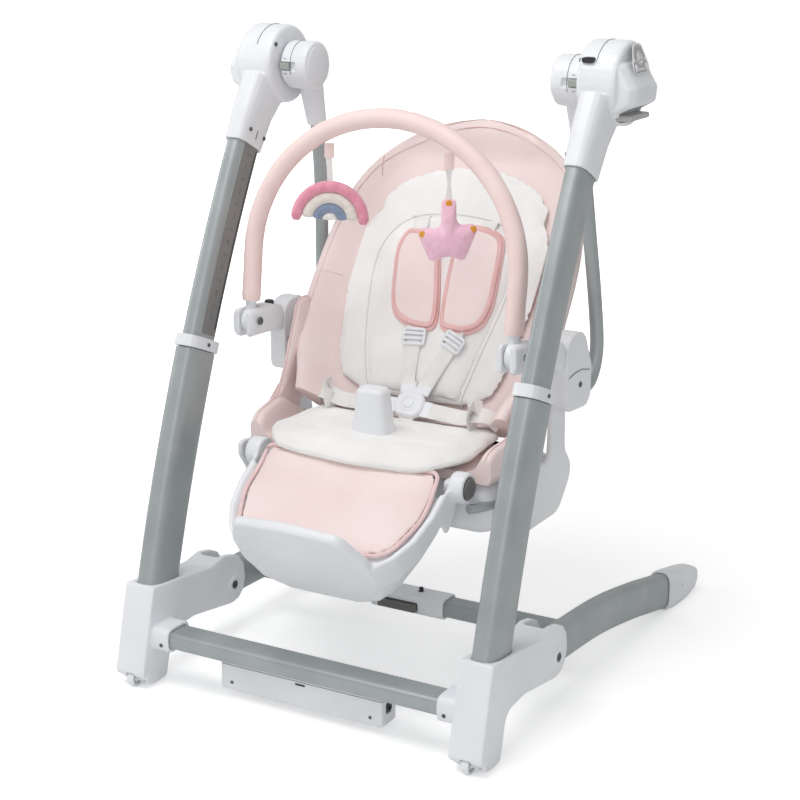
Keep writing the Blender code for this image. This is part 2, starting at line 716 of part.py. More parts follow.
def swing_lock(side, word):
    slide = pivot(f"swing_lock_{word}_axis", (side * 0.243, HUB_Y - POD_RADIUS, HUB_Z))
    low, high = sorted_box((side * 0.2345, HUB_Y - 0.0385, HUB_Z - 0.0055),
                           (side * 0.2515, HUB_Y - 0.0325, HUB_Z + 0.0055))
    finish(box(low, high, 0.0012, 1), f"swing_lock_{word}", (GREY, 0.5), slide)


def swing_arm(side, word, swing):
    arm = round_tube(arm_run(side), ARM_RADIUS, 4)
    finish(arm, f"swing_arm_{word}", (GREY_METAL, 0.35, 0.8), swing)


def arm_joint(side, word, swing):
    outline = [(0.3450, 0.4180, 0.018), (0.3450, 0.5330, 0.030), (0.4050, 0.5330, 0.030),
               (0.4330, 0.4750, 0.020), (0.4330, 0.4120, 0.022)]
    low, high = sorted((side * JOINT_X[0], side * JOINT_X[1]))
    body = side_plate(outline, low, high, 0.005, 2)
    run = arm_run(side)[11:]
    cut(body, round_tube(run + [2 * run[-1] - run[-2]], ARM_RADIUS + GAP))
    finish(body, f"arm_joint_{word}", (WHITE, 0.4), swing)


def seat_cheek(side):
    """The side frame of the seat: a lower lobe, a neck up to the arm joint and a rail to the pivot."""
    outline = [(0.2060, 0.3180, 0.008), (0.2060, 0.3400, 0.008), (0.2600, 0.3360, 0.020),
               (0.3580, 0.3400, 0.015), (0.3660, 0.5120, 0.012), (0.4050, 0.5120, 0.015),
               (0.4100, 0.3400, 0.030), (0.4450, 0.3100, 0.030), (0.3900, 0.2480, 0.035),
               (0.2550, 0.2480, 0.035)]
    low, high = sorted((side * CHEEK_X[0], side * CHEEK_X[1]))
    return side_plate(outline, low, high, 0.003, 1, 3)


def seat_base(swing):
    """The seat's plastic pan with its two side frames and the pins of the footrest."""
    pan = box((-0.2050, 0.2091, 0.2560), (0.2050, 0.4290, 0.3360), 0.024, 3)
    for side in (1, -1):
        boss = box(*sorted_box((side * 0.1870, 0.2750, 0.2730), (side * 0.2245, 0.3710, 0.3210)))
        ear = side_plate([(0.1710, 0.3270, 0.007), (0.1710, 0.3480, 0.007), (0.1960, 0.3480, 0.006),
                          (0.2060, 0.3350, 0.004), (0.2300, 0.3350, 0.003), (0.2300, 0.3090, 0.004),
                          (0.2080, 0.3090, 0.004)],
                         *sorted((side * 0.1485, side * 0.1590)))
        pin = rod((side * 0.1530, PIVOT_Y, PIVOT_Z), (side * 0.1740, PIVOT_Y, PIVOT_Z), 0.006, 12)
        add(pan, boss, ear, pin, seat_cheek(side))
    finish(pan, "seat_base", (WHITE, 0.4), swing)


def seat_pad(swing):
    """The covered tub that the child sits in, open at the front and the back."""
    rings = []
    floor = 0.3375
    for y, half, wall in ((0.2085, 0.206, 0.378), (0.240, 0.210, 0.388), (0.290, 0.214, 0.394),
                          (0.325, 0.214, 0.372), (0.350, 0.214, 0.358)):
        ring = [(half - 0.012, floor), (half, floor + 0.008), (half, wall), (half - 0.018, wall),
                (half - 0.026, floor + 0.020), (half - 0.042, floor + 0.0145)]
        ring = ring + [(-x, z) for x, z in reversed(ring)]
        rings.append([Vector((x, y, z)) for x, z in ring])
    finish(loft(rings), "seat_pad", (PINK, 0.6), swing)


def seat_cushion(swing):
    shape = [(0.1610, 0.3600, 0.0050, 0.140), (0.172, 0.3630, 0.0100, 0.150),
             (0.225, 0.3645, 0.0115, 0.156), (0.300, 0.3650, 0.0120, 0.158),
             (0.338, 0.3650, 0.0115, 0.156)]
    cushion = loft([oval((0, y, z + 0.0005), (1, 0, 0), (0, 0, 1), half, thick, 4.0)
                    for y, z, thick, half in shape])
    cut(cushion, box((-0.034, 0.206, 0.30), (0.034, 0.254, 0.46)))
    finish(cushion, "seat_cushion", (CREAM, 0.9), swing)


def crotch_post(swing):
    post = loft([oval((0, 0.230, z), (1, 0, 0), (0, 1, 0), half_x, half_y, 3.6)
                 for z, half_x, half_y in ((0.3525, 0.0320, 0.0220), (0.375, 0.0310, 0.0215),
                                           (0.415, 0.0275, 0.0190), (0.446, 0.0240, 0.0165),
                                           (0.4515, 0.0190, 0.0125))])
    finish(post, "crotch_post", (WHITE, 0.35), swing)


BUCKLE = (0.010, 0.322, 0.402)
BUCKLE_LEAN = math.radians(42)


def buckle_point(x, along, proud):
    """A point from the buckle's own coordinates: up its face, and out of it."""
    lean = BUCKLE_LEAN
    return Vector((BUCKLE[0] + x, BUCKLE[1] + along * math.sin(lean) - proud * math.cos(lean),
                   BUCKLE[2] + along * math.cos(lean) + proud * math.sin(lean)))


def harness_buckle(swing):
    up = buckle_point(0, 1, 0) - buckle_point(0, 0, 0)
    body = loft([oval(buckle_point(0, 0, h), (1, 0, 0), up, 0.0245 * s, 0.0205 * s, 3.0)
                 for h, s in ((-0.007, 0.94), (-0.004, 1.0), (0.004, 1.0), (0.007, 0.90))])
    well = rod(buckle_point(0, 0, 0.001), buckle_point(0, 0, 0.02), 0.0095, 24)
    cut(body, well)
    finish(body, "harness_buckle", (WHITE, 0.4), swing)
    slide = pivot("buckle_button_axis", buckle_point(0, 0, 0))
    button = rod(buckle_point(0, 0, 0.0045), buckle_point(0, 0, 0.0090), 0.0088, 24)
    bevel(button, 0.0012, 1)
    finish(button, "buckle_button", (WHITE, 0.35), slide)


# ---------------------------------------------------------------- backrest

# Down the backrest: place, half width, depth of the tub's floor, half width of the cushion
BACK_STATIONS = [
    (0.058, 0.160, -0.066, 0.000), (0.085, 0.166, -0.062, 0.118), (0.118, 0.176, -0.056, 0.148),
    (0.150, 0.219, -0.050, 0.156), (0.220, 0.220, -0.043, 0.158), (0.290, 0.220, -0.038, 0.160),
    (0.345, 0.216, -0.035, 0.158), (0.400, 0.206, -0.032, 0.146), (0.440, 0.192, -0.030, 0.120),
    (0.475, 0.170, -0.028, 0.080), (0.518, 0.132, -0.027, 0.000), (0.540, 0.078, -0.026, 0.000),
    (0.549, 0.030, -0.025, 0.000),
]
BACK_SKIN = 0.022  # thickness of the padding behind the tub's floor


def tub_profile(half, floor):
    """The right half of the tub's front face: (x, depth) from the middle to the wing's edge."""
    return [(0, floor - 0.002), (half * 0.42, floor), (half * 0.76, floor * 0.72),
            (half * 0.90, -0.005), (half * 0.975, 0.0)]


def tub_depth(x, half, floor):
    profile = tub_profile(half, floor)
    for (p, a), (q, b) in zip(profile, profile[1:]):
        if x <= q:
            return a + (b - a) * (x - p) / (q - p)
    return 0.0


def mirrored(points):
    """A closed ring from its right half; points on the middle plane aren't repeated."""
    return points + [(-x, v) for x, v in reversed(points) if x > 0]


def backrest_pad(back):
    """The padded tub of the backrest: wings at the sides, hollowed for the cushion."""
    rings = []
    for along, half, floor, _ in BACK_STATIONS:
        rear = floor - BACK_SKIN
        right = tub_profile(half, floor)
        right += [(half, -0.010), (half * 0.95, rear + 0.018), (half * 0.72, rear),
                  (0, rear - 0.002)]
        rings.append([back_point(x, along, v) for x, v in mirrored(right)])
    finish(loft(rings), "backrest_pad", (PINK, 0.6), back)


def back_cushion(back):
    rings = []
    for along, half, floor, cushion in BACK_STATIONS:
        if cushion == 0:
            continue
        xs = [cushion * k for k in (0, 0.3, 0.55, 0.8, 1)]
        under = [(x, tub_depth(x, half, floor) + 0.002) for x in xs]
        over = [(x * 0.98, tub_depth(x, half, floor) + 0.010 + 0.010 * (x < cushion * 0.9))
                for x in reversed(xs)]
        rings.append([back_point(x, along, v) for x, v in mirrored(under + over)])
    finish(loft(rings), "back_cushion", (CREAM, 0.9), back)


def backrest_shell(back):
    """The hard shell behind the padding."""
    rings = []
    for along, half, floor, _ in BACK_STATIONS[1:-2]:
        rear = floor - BACK_SKIN - 0.0035
        right = [(0, rear), (half * 0.70, rear), (half * 0.70, rear - 0.004),
                 (half * 0.56, rear - 0.015), (0, rear - 0.019)]
        rings.append([back_point(x, along, v) for x, v in mirrored(right)])
    finish(loft(rings), "backrest_shell", (WHITE, 0.4), back)


# ---------------------------------------------------------------- footrest

def footrest_shell(rest):
    """A calf tray that ends in a standing toe wall, with a boss over each pivot pin."""
    stations = [(0.030, 0.1665, -0.028), (0.070, 0.1665, -0.048), (0.115, 0.1580, -0.066),
                (0.150, 0.1400, -0.080), (0.172, 0.1180, -0.084)]
    rings = []
    for along, half, low in stations:
        right = [(0, 0.0060), (half - 0.016, 0.0075), (half - 0.008, 0.018), (half, 0.016),
                 (half * 0.98, low * 0.35), (half * 0.84, low * 0.80), (half * 0.5, low),
                 (0, low * 1.02)]
        rings.append([rest_point(x, along, v) for x, v in mirrored(right)])
    tray = loft(rings)
    corners = [(-0.112, 0.030, 0.030), (-0.086, 0.083, 0.020), (0, 0.0885, 0.200),
               (0.086, 0.083, 0.020), (0.112, 0.030, 0.030), (0.118, -0.030, 0.040),
               (0.074, -0.086, 0.040), (-0.074, -0.086, 0.040), (-0.118, -0.030, 0.040)]
    outline = arc_corners(corners, 3)
    wall = loft([[rest_point(p.x * s, along + 0.10 * p.y, p.y * s) for p in outline]
                 for along, s in ((0.1640, 1.0), (0.1740, 1.0), (0.1790, 0.96))])
    add(tray, wall)
    for side in (1, -1):
        low, high = sorted((side * 0.1605, side * 0.1665))
        corner = [rest_point(0, along, v) for along, v in
                  ((-0.012, 0.014), (0.060, 0.0165), (0.060, -0.0400), (-0.012, -0.014))]
        link_plate = side_plate([(c.y, c.z, 0.006) for c in corner], low, high)
        boss = rod((side * 0.1605, PIVOT_Y, PIVOT_Z), (side * 0.1860, PIVOT_Y, PIVOT_Z), 0.0230, 24)
        add(tray, link_plate, bevel(boss, 0.002, 1))
        well = rod((side * 0.1780, PIVOT_Y, PIVOT_Z), (side * 0.2000, PIVOT_Y, PIVOT_Z), 0.0165, 24)
        bore = rod((side * 0.1500, PIVOT_Y, PIVOT_Z), (side * 0.1750, PIVOT_Y, PIVOT_Z), 0.0064, 16)
        cut(tray, well, bore)
    finish(tray, "footrest_shell", (WHITE, 0.4), rest)


def footrest_pad(rest):
    outline = [(0.031, 0.1460), (0.060, 0.1475), (0.095, 0.1400), (0.130, 0.1250), (0.1500, 0.098),
               (0.1560, 0.060)]
    rings = [oval(rest_point(0, along, 0.0135), (1, 0, 0),
                  rest_point(0, 0, 1) - rest_point(0, 0, 0), half, 0.0050, 5.0, 16)
             for along, half in outline]
    finish(loft(rings), "footrest_pad", (PINK, 0.6), rest)


def footrest_button(side, word, rest):
    slide = pivot(f"footrest_button_{word}_axis", (side * 0.184, PIVOT_Y, PIVOT_Z))
    disc = rod((side * 0.1812, PIVOT_Y, PIVOT_Z), (side * 0.1885, PIVOT_Y, PIVOT_Z), 0.0160, 24)
    bevel(disc, 0.0015, 1)
    finish(disc, f"footrest_button_{word}", ("#6E6C69", 0.45), slide)


# ---------------------------------------------------------------- toy bar and toys

KNUCKLE_RADIUS = 0.0185
KNUCKLE_HALF = 0.0055


def toybar_mount(side, word, swing):
    y, z = TOYBAR_PIVOT
    shape = [(0.2170, 0.2240, 0.0155, 0.5240, 0.0180), (0.2230, 0.2240, 0.0185, 0.5230, 0.0220),
             (0.2600, 0.2260, 0.0185, 0.5215, 0.0225), (0.3000, 0.2340, 0.0165, 0.5160, 0.0225),
             (0.3446, 0.2440, 0.0120, 0.5050, 0.0215)]
    body = loft([oval((side * x, at, mid), (1, 0, 0), (0, 0, 1), half_x, half_z, 4.0, 20)
                 for at, x, half_x, mid, half_z in shape])
    x = side * TOYBAR_X
    way = box((x - KNUCKLE_HALF - 0.0006, 0.19, 0.48), (x + KNUCKLE_HALF + 0.0006, y + 0.0195, 0.56))
    well = rod((side * 0.2330, 0.306, 0.530), (side * 0.2330, 0.306, 0.560), 0.0080, 20)
    cut(body, way, well)
    finish(body, f"toybar_mount_{word}", (WHITE, 0.4), swing)
    slide = pivot(f"toybar_button_{word}_axis", (side * 0.2330, 0.306, 0.538))
    button = rod((side * 0.2330, 0.306, 0.5335), (side * 0.2330, 0.306, 0.5415), 0.0075, 20)
    bevel(button, 0.001, 1)
    finish(button, f"toybar_button_{word}", (DARK, 0.45), slide)


def arch_point(angle):
    """A point on the sleeve's arch: angle 0 at the right foot of the arch, pi at the left."""
    y, z = TOYBAR_PIVOT
    lean = TOYBAR_LEAN
    rise = 0.1085 + ARCH_RISE * math.sin(angle)
    return Vector((TOYBAR_X * math.cos(angle), y + rise * math.sin(lean), z + rise * math.cos(lean)))


def toy_bar(bar):
    y, z = TOYBAR_PIVOT
    lean = Vector((0, math.sin(TOYBAR_LEAN), math.cos(TOYBAR_LEAN)))
    foot_right = Vector((TOYBAR_X, y, z)) + lean * 0.0300
    foot_left = Vector((-TOYBAR_X, y, z)) + lean * 0.0300
    arch = [arch_point(math.pi * i / 22) for i in range(23)]
    sleeve = round_tube([foot_right] + arch + [foot_left], SLEEVE_RADIUS, 3)
    for side in (1, -1):
        hinge = Vector((side * TOYBAR_X, y, z))
        disc = rod(hinge - Vector((KNUCKLE_HALF, 0, 0)), hinge + Vector((KNUCKLE_HALF, 0, 0)),
                   KNUCKLE_RADIUS, 24)
        stub = rod(hinge, hinge + lean * 0.040, 0.0055, 12)
        add(sleeve, stub, disc)
    finish(sleeve, "toy_bar", (PINK, 0.6), bar)


def hang_point(side):
    """Just under the sleeve, where a toy's tab is sewn on."""
    angle = math.acos(side * TOY_X / TOYBAR_X)
    slope = Vector((math.sin(angle) * TOYBAR_X, 0, -math.cos(angle) * ARCH_RISE)).normalized()
    drop = SLEEVE_RADIUS / abs(slope.x)
    return arch_point(angle) - Vector((0, 0, drop + 0.0048))


TOY_TURN = math.radians(28)  # the toys hang turned a little about the vertical


def toy_from(corners, thickness, side, ribbon, steps=4):
    """A stuffed toy cut from an outline, hanging on its ribbon below the bar."""
    top = hang_point(side)
    outline = arc_corners(corners, steps)
    across = Vector((math.cos(TOY_TURN), math.sin(TOY_TURN), 0))
    out = Vector((-math.sin(TOY_TURN), math.cos(TOY_TURN), 0))
    up = Vector((0, 0, 1))
    rings = [[top + across * p.x * s + up * (p.y * s - ribbon) + out * h for p in outline]
             for h, s in ((-thickness, 0.90), (-thickness * 0.6, 1.0), (thickness * 0.6, 1.0),
                          (thickness, 0.90))]
    body = loft(rings)
    strap = loft([[top + across * a * 0.0075 + out * b * 0.0012 - up * h
                   for a, b in ((-1, -1), (1, -1), (1, 1), (-1, 1))]
                  for h in (0.0, ribbon + 0.004)])
    return add(body, strap)


def rainbow_toy(hang):
    corners = [(-0.0600, -0.0600, 0.006), (-0.0585, -0.0160, 0.036), (-0.0260, 0.0010, 0.036),
               (0.0260, 0.0010, 0.036), (0.0585, -0.0160, 0.036), (0.0600, -0.0640, 0.006),
               (0.0240, -0.0560, 0.030), (-0.0240, -0.0560, 0.030)]
    toy = toy_from(corners, 0.011, -1, 0.056)
    finish(toy, "rainbow_toy", ("#E87F9D", 0.9), hang)


def crown_toy(hang):
    corners = [(-0.0105, 0.0000, 0.006), (0.0105, 0.0000, 0.006), (0.0150, -0.0390, 0.008),
               (0.0390, -0.0340, 0.005), (0.0445, -0.0445, 0.005), (0.0235, -0.0930, 0.006),
               (0.0010, -0.0835, 0.030), (-0.0265, -0.0940, 0.006), (-0.0470, -0.0520, 0.006),
               (-0.0420, -0.0420, 0.004), (-0.0150, -0.0420, 0.008)]
    toy = toy_from(corners, 0.012, 1, 0.066, 3)
    finish(toy, "crown_toy", ("#F5C9DE", 0.9), hang)


# ---------------------------------------------------------------- the whole swing

clear_scene()
PARTS = new_collection("baby_swing")
CUTTERS = new_collection("cutters", hidden=True)
ASSEMBLY = None
ASSEMBLY = pivot("assembly", (0, -FOOTPRINT_MIDDLE, 0))
SIDES = ((1, "right"), (-1, "left"))

height_axis = pivot("height_axis", (0, *leg_centre()))
fold_axis = pivot("fold_axis", (0, PIN_Y, PIN_Z))
swing_axis = pivot("swing_axis", (0, HUB_Y, HUB_Z))
recline_axis = pivot("recline_axis", (0, RECLINE_Y, RECLINE_Z))
footrest_axis = pivot("footrest_axis", (0, PIVOT_Y, PIVOT_Z))
toybar_axis = pivot("toybar_axis", (0, *TOYBAR_PIVOT))
rainbow_axis = pivot("rainbow_axis", hang_point(-1))
crown_axis = pivot("crown_axis", hang_point(1))

front_crossbar()
control_box()
dc_jack()
rear_crossbar(fold_axis)
latch(fold_axis)
drive_motor(height_axis)
console_panel(height_axis)
for button_values in CONSOLE_BUTTONS:
    console_button(*button_values)
for side, word in SIDES:
    lower_leg_tube(side, word)
    tube_ring(side, word)
    foot(side, word)
    front_wheel(side, word)
    rear_tube(side, word, fold_axis)
    rear_cap(side, word, fold_axis)
    upper_leg_tube(side, word, height_axis)
    hub_housing(side, word, height_axis)
    release_lever(side, word)
    swing_shaft(side, word, swing_axis)
    pod(side, word, swing_axis)
    swing_lock(side, word)
    swing_arm(side, word, swing_axis)
    arm_joint(side, word, swing_axis)
    toybar_mount(side, word, swing_axis)
    footrest_button(side, word, footrest_axis)
seat_base(swing_axis)
seat_pad(swing_axis)
seat_cushion(swing_axis)
crotch_post(swing_axis)
harness_buckle(swing_axis)
backrest_shell(recline_axis)
backrest_pad(recline_axis)
back_cushion(recline_axis)
footrest_shell(footrest_axis)
footrest_pad(footrest_axis)
toy_bar(toybar_axis)
rainbow_toy(rainbow_axis)
crown_toy(crown_axis)
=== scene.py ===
# %% [markdown]
# # A folding baby swing, made around its measured frame
# A baby swing is three things at once: a folding stand of steel tube, a moulded seat that hangs
# from two motor hubs, and a set of sewn soft goods laid over the seat. The stand and the moulded
# parts come from the CAD frame, which also holds the joints. Here we give every moulded part its
# finish, rebuild the tubes finely, and sew the covers, cushions, straps and toys on top.

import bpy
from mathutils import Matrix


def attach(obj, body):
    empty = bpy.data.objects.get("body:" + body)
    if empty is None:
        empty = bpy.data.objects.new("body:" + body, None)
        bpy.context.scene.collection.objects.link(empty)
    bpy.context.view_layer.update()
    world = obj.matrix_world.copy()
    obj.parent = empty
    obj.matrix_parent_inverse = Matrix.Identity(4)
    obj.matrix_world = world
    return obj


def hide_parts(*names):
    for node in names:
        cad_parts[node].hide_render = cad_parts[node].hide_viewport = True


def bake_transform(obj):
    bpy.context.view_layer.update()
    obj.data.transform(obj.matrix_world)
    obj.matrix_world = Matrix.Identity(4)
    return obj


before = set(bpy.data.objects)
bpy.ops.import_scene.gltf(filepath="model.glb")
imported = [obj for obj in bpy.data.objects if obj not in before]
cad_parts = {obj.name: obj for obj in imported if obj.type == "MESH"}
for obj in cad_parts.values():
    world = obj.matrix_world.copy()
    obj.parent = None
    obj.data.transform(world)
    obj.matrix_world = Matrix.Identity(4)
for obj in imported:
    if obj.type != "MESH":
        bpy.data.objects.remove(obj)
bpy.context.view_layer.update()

# %% Tools for the whole lesson
import math

import bmesh
import bpy
from mathutils import Matrix, Vector, noise

SIDES = ((1, "right"), (-1, "left"))
FOOTPRINT_MIDDLE = 0.390  # the frame's y = 0 lies this far behind the line of the front wheels


def at(x, y, z):
    """A point given from the wheel line, in the frame's own coordinates."""
    return Vector((x, y - FOOTPRINT_MIDDLE, z))


# %% [markdown]
# ## Camera and light
# A long lens keeps the two legs almost parallel, so that its proportions read true. We look from a little
# above the seat and 30 degrees to the side. A pale floor and big soft lamps keep the shadows weak,
# because white plastic only shows its shape when one side is a little brighter than the other.

# %% Camera
AZIMUTH, ELEVATION, DISTANCE = math.radians(29.8156), math.radians(16.0017), 2.8141
TARGET = Vector((-0.0236, -0.040, 0.3981))
backward = Vector((math.sin(AZIMUTH) * math.cos(ELEVATION),
                   -math.cos(AZIMUTH) * math.cos(ELEVATION), math.sin(ELEVATION)))
lens = bpy.data.cameras.new("camera")
lens.lens, lens.sensor_width = 82.09, 36.0
camera = bpy.data.objects.new("camera", lens)
camera.location = TARGET + backward * DISTANCE
camera.rotation_euler = (-backward).to_track_quat("-Z", "Y").to_euler()
bpy.context.scene.collection.objects.link(camera)
bpy.context.scene.camera = camera
bpy.context.scene.view_settings.view_transform = "Standard"
print("camera", [round(v, 3) for v in camera.location])

# %% Soft lamps and a white surround
world = bpy.data.worlds.new("surround")
bpy.context.scene.world = world
world.use_nodes = True
sky = world.node_tree.nodes["Background"]
sky.inputs[0].default_value = (1.0, 1.0, 1.0, 1.0)
seen = world.node_tree.nodes.new("ShaderNodeLightPath")
level = world.node_tree.nodes.new("ShaderNodeMapRange")
level.inputs["To Min"].default_value, level.inputs["To Max"].default_value = 0.50, 1.0
world.node_tree.links.new(seen.outputs["Is Camera Ray"], level.inputs["Value"])
world.node_tree.links.new(level.outputs["Result"], sky.inputs[1])


def lamp(name, place, aim, size, power):
    light = bpy.data.lights.new(name, "AREA")
    light.shape, light.size, light.energy = "DISK", size, power
    obj = bpy.data.objects.new(name, light)
    obj.location = place
    obj.rotation_euler = (Vector(aim) - Vector(place)).to_track_quat("-Z", "Y").to_euler()
    bpy.context.scene.collection.objects.link(obj)


lamp("overhead_lamp", (-0.3, -1.1, 2.9), (0, 0, 0.2), 1.8, 32)
lamp("front_lamp", (1.2, -2.9, 1.6), (0, 0, 0.5), 1.6, 11)
lamp("side_lamp", (-2.8, -0.9, 1.5), (0, 0, 0.5), 1.2, 11)


# %% [markdown]
# ## Finishes
# Each finish starts from what the real material is and how its surface was made. Colours are
# written as the sRGB hex values a painter would pick and turned to linear light by one function.

# %% Colour and node helpers
def linear(hex_colour):
    """An sRGB hex colour as linear light."""
    channels = [int(hex_colour[i:i + 2], 16) / 255 for i in (1, 3, 5)]
    return tuple(c / 12.92 if c <= 0.04045 else ((c + 0.055) / 1.055) ** 2.4
                 for c in channels) + (1.0,)


def add_node(tree, kind, links=(), settings=(), **inputs):
    """Adds a node, sets its options and sockets, and links (input, node, output) into it."""
    made = tree.nodes.new(kind)
    for name, value in dict(settings).items():
        setattr(made, name, value)
    for name, value in inputs.items():
        made.inputs[name.replace("_", " ")].default_value = value
    for socket, source, output in links:
        tree.links.new(source.outputs[output], made.inputs[socket])
    return made


def new_finish(name, roughness, metallic=0.0, **sockets):
    """A material with its shader's constant sockets set; returns it with its tree and shader."""
    finish = bpy.data.materials.new(name)
    finish.use_nodes = True
    shader = finish.node_tree.nodes["Principled BSDF"]
    shader.inputs["Roughness"].default_value = roughness
    shader.inputs["Metallic"].default_value = metallic
    for socket, value in sockets.items():
        shader.inputs[socket.replace("_", " ")].default_value = value
    return finish, finish.node_tree, shader


def mottled(tree, shader, light, dark, scale, spread=(0.35, 0.65)):
    """Lets the base colour wander between two shades with a soft noise."""
    place = add_node(tree, "ShaderNodeTexCoord")
    cloud = add_node(tree, "ShaderNodeTexNoise", [("Vector", place, "Object")],
                     Scale=scale, Detail=3.0)
    shades = add_node(tree, "ShaderNodeValToRGB", [("Fac", cloud, "Fac")])
    shades.color_ramp.elements[0].position, shades.color_ramp.elements[1].position = spread
    shades.color_ramp.elements[0].color = linear(dark)
    shades.color_ramp.elements[1].color = linear(light)
    tree.links.new(shades.outputs["Color"], shader.inputs["Base Color"])
    return place


def raised(tree, shader, height, output, strength, depth):
    """Feeds a height into the shader as a bump, with its depth in metres."""
    bump = add_node(tree, "ShaderNodeBump", [("Height", height, output)],
                    Strength=strength, Distance=depth)
    tree.links.new(bump.outputs["Normal"], shader.inputs["Normal"])


# %% [markdown]
# ### Moulded plastics
# The white, grey and black parts are injection-moulded polypropylene and ABS. The mould is spark
# eroded, which leaves a fine satin grain of about 0.3 mm; it is drawn at 1 mm so that it shows.
# Plastic is not a metal and has an IOR near 1.5, so it keeps a weak, wide highlight.

# %% Moulded plastic finishes
def moulded(name, light, dark, roughness=0.42, grain=1 / 0.001):
    finish, tree, shader = new_finish(name, roughness, IOR=1.5)
    place = mottled(tree, shader, light, dark, 9.0)
    sparks = add_node(tree, "ShaderNodeTexNoise", [("Vector", place, "Object")],
                      Scale=grain, Detail=2.0)
    raised(tree, shader, sparks, "Fac", 0.10, 0.0003)
    gloss = add_node(tree, "ShaderNodeMapRange", [("Value", sparks, "Fac")])
    gloss.inputs["To Min"].default_value = roughness - 0.05
    gloss.inputs["To Max"].default_value = roughness + 0.07
    tree.links.new(gloss.outputs["Result"], shader.inputs["Roughness"])
    return finish


WHITE_ABS = moulded("white_moulded_polypropylene", "#EDEFF2", "#E6E8EC", 0.36)
GREY_ABS = moulded("dark_grey_moulded_abs", "#716F6D", "#686664", 0.45)
PALE_GREY_ABS = moulded("silver_grey_console_plastic", "#BDBDBB", "#B1B1AF", 0.38)
SLIDER_ABS = moulded("grey_green_slider_plastic", "#A9ADA8", "#9EA29D", 0.45)
BLACK_ABS = moulded("black_moulded_abs", "#333436", "#26272A", 0.40)
SHADOW_ABS = moulded("vent_shadow_plastic", "#55575A", "#494B4E", 0.7)
GUIDE_PLASTIC = moulded("height_scale_strip", "#8B8A88", "#807F7D", 0.42)
INK = moulded("printed_grey_ink", "#6F7276", "#63666A", 0.6)

# %% [markdown]
# ### Painted and plated steel
# The tubes are powder-coated in metallic grey: tiny aluminium flakes in a baked plastic film. The
# flakes give a sparkle, and the film's orange peel, about 1.5 mm across, breaks up reflections.
# The screws and the shaft are zinc-plated steel, brighter and harder.

# %% Metal finishes
def powder_coat(name, light, dark, roughness):
    finish, tree, shader = new_finish(name, roughness, 0.40)
    place = mottled(tree, shader, light, dark, 14.0)
    peel = add_node(tree, "ShaderNodeTexNoise", [("Vector", place, "Object")],
                    Scale=1 / 0.0015, Detail=1.0)
    raised(tree, shader, peel, "Fac", 0.06, 0.0003)
    flakes = add_node(tree, "ShaderNodeTexVoronoi", [("Vector", place, "Object")],
                      Scale=1 / 0.0008)
    gloss = add_node(tree, "ShaderNodeMapRange", [("Value", flakes, "Distance")])
    gloss.inputs["To Min"].default_value = roughness - 0.10
    gloss.inputs["To Max"].default_value = roughness + 0.10
    tree.links.new(gloss.outputs["Result"], shader.inputs["Roughness"])
    return finish


PAINTED_STEEL = powder_coat("powder_coated_steel_tube", "#AEB4B5", "#A4ABAC", 0.42)


def plated(name, light, dark, roughness):
    finish, tree, shader = new_finish(name, roughness, 1.0)
    place = mottled(tree, shader, light, dark, 60.0)
    brushed = add_node(tree, "ShaderNodeTexNoise", [("Vector", place, "Object")],
                       Scale=1 / 0.0007, Detail=2.0)
    raised(tree, shader, brushed, "Fac", 0.08, 0.0002)
    return finish


ZINC = plated("zinc_plated_steel", "#C4C7C9", "#A9ACAE", 0.32)
DARK_SCREW = plated("blackened_screw_steel", "#77797B", "#606264", 0.38)


# %% [markdown]
# ### Leatherette, knit, webbing and plush
# Leatherette is polyurethane film on a knitted backing, embossed between rollers. Its grain is
# made of rounded cells about 1.2 mm wide with creases between them: cells raise, creases darken.
# The cushions are a cotton knit with loops near 0.5 mm, drawn at 1.1 mm. Harness webbing is a
# polyester twill, with ribs every 1.2 mm. Plush is a dense pile that scatters light, so it gets sheen.

# %% Soft finishes
def leatherette(name, light, dark, roughness=0.50):
    finish, tree, shader = new_finish(name, roughness, IOR=1.48, Coat_Weight=0.06,
                                      Coat_Roughness=0.45, Sheen_Weight=0.10)
    place = mottled(tree, shader, light, dark, 11.0)
    cells = add_node(tree, "ShaderNodeTexVoronoi", [("Vector", place, "Object")],
                     {"feature": "SMOOTH_F1"}, Scale=1 / 0.0012, Smoothness=0.6)
    raised(tree, shader, cells, "Distance", 0.22, 0.0004)
    return finish


def knitted(name, light, dark, loop=0.0011, strength=0.45):
    finish, tree, shader = new_finish(name, 0.92, Sheen_Weight=0.25, Sheen_Roughness=0.5)
    place = mottled(tree, shader, light, dark, 16.0)
    heights = []
    for direction in ("X", "Z"):
        rows = add_node(tree, "ShaderNodeTexWave", [("Vector", place, "Object")],
                        {"bands_direction": direction}, Scale=0.314 / loop, Distortion=0.6,
                        Detail=1.0, Detail_Scale=3.0)
        heights.append(rows)
    weave = add_node(tree, "ShaderNodeMath", (), {"operation": "MULTIPLY"})
    tree.links.new(heights[0].outputs["Fac"], weave.inputs[0])
    tree.links.new(heights[1].outputs["Fac"], weave.inputs[1])
    raised(tree, shader, weave, "Value", strength, 0.0006)
    return finish


def twill(name, light, dark, rib=0.0012):
    finish, tree, shader = new_finish(name, 0.75, Sheen_Weight=0.15)
    place = mottled(tree, shader, light, dark, 30.0)
    ribs = add_node(tree, "ShaderNodeTexWave", [("Vector", place, "Object")],
                    {"bands_direction": "DIAGONAL"}, Scale=0.314 / rib, Distortion=0.3)
    raised(tree, shader, ribs, "Fac", 0.5, 0.0006)
    return finish


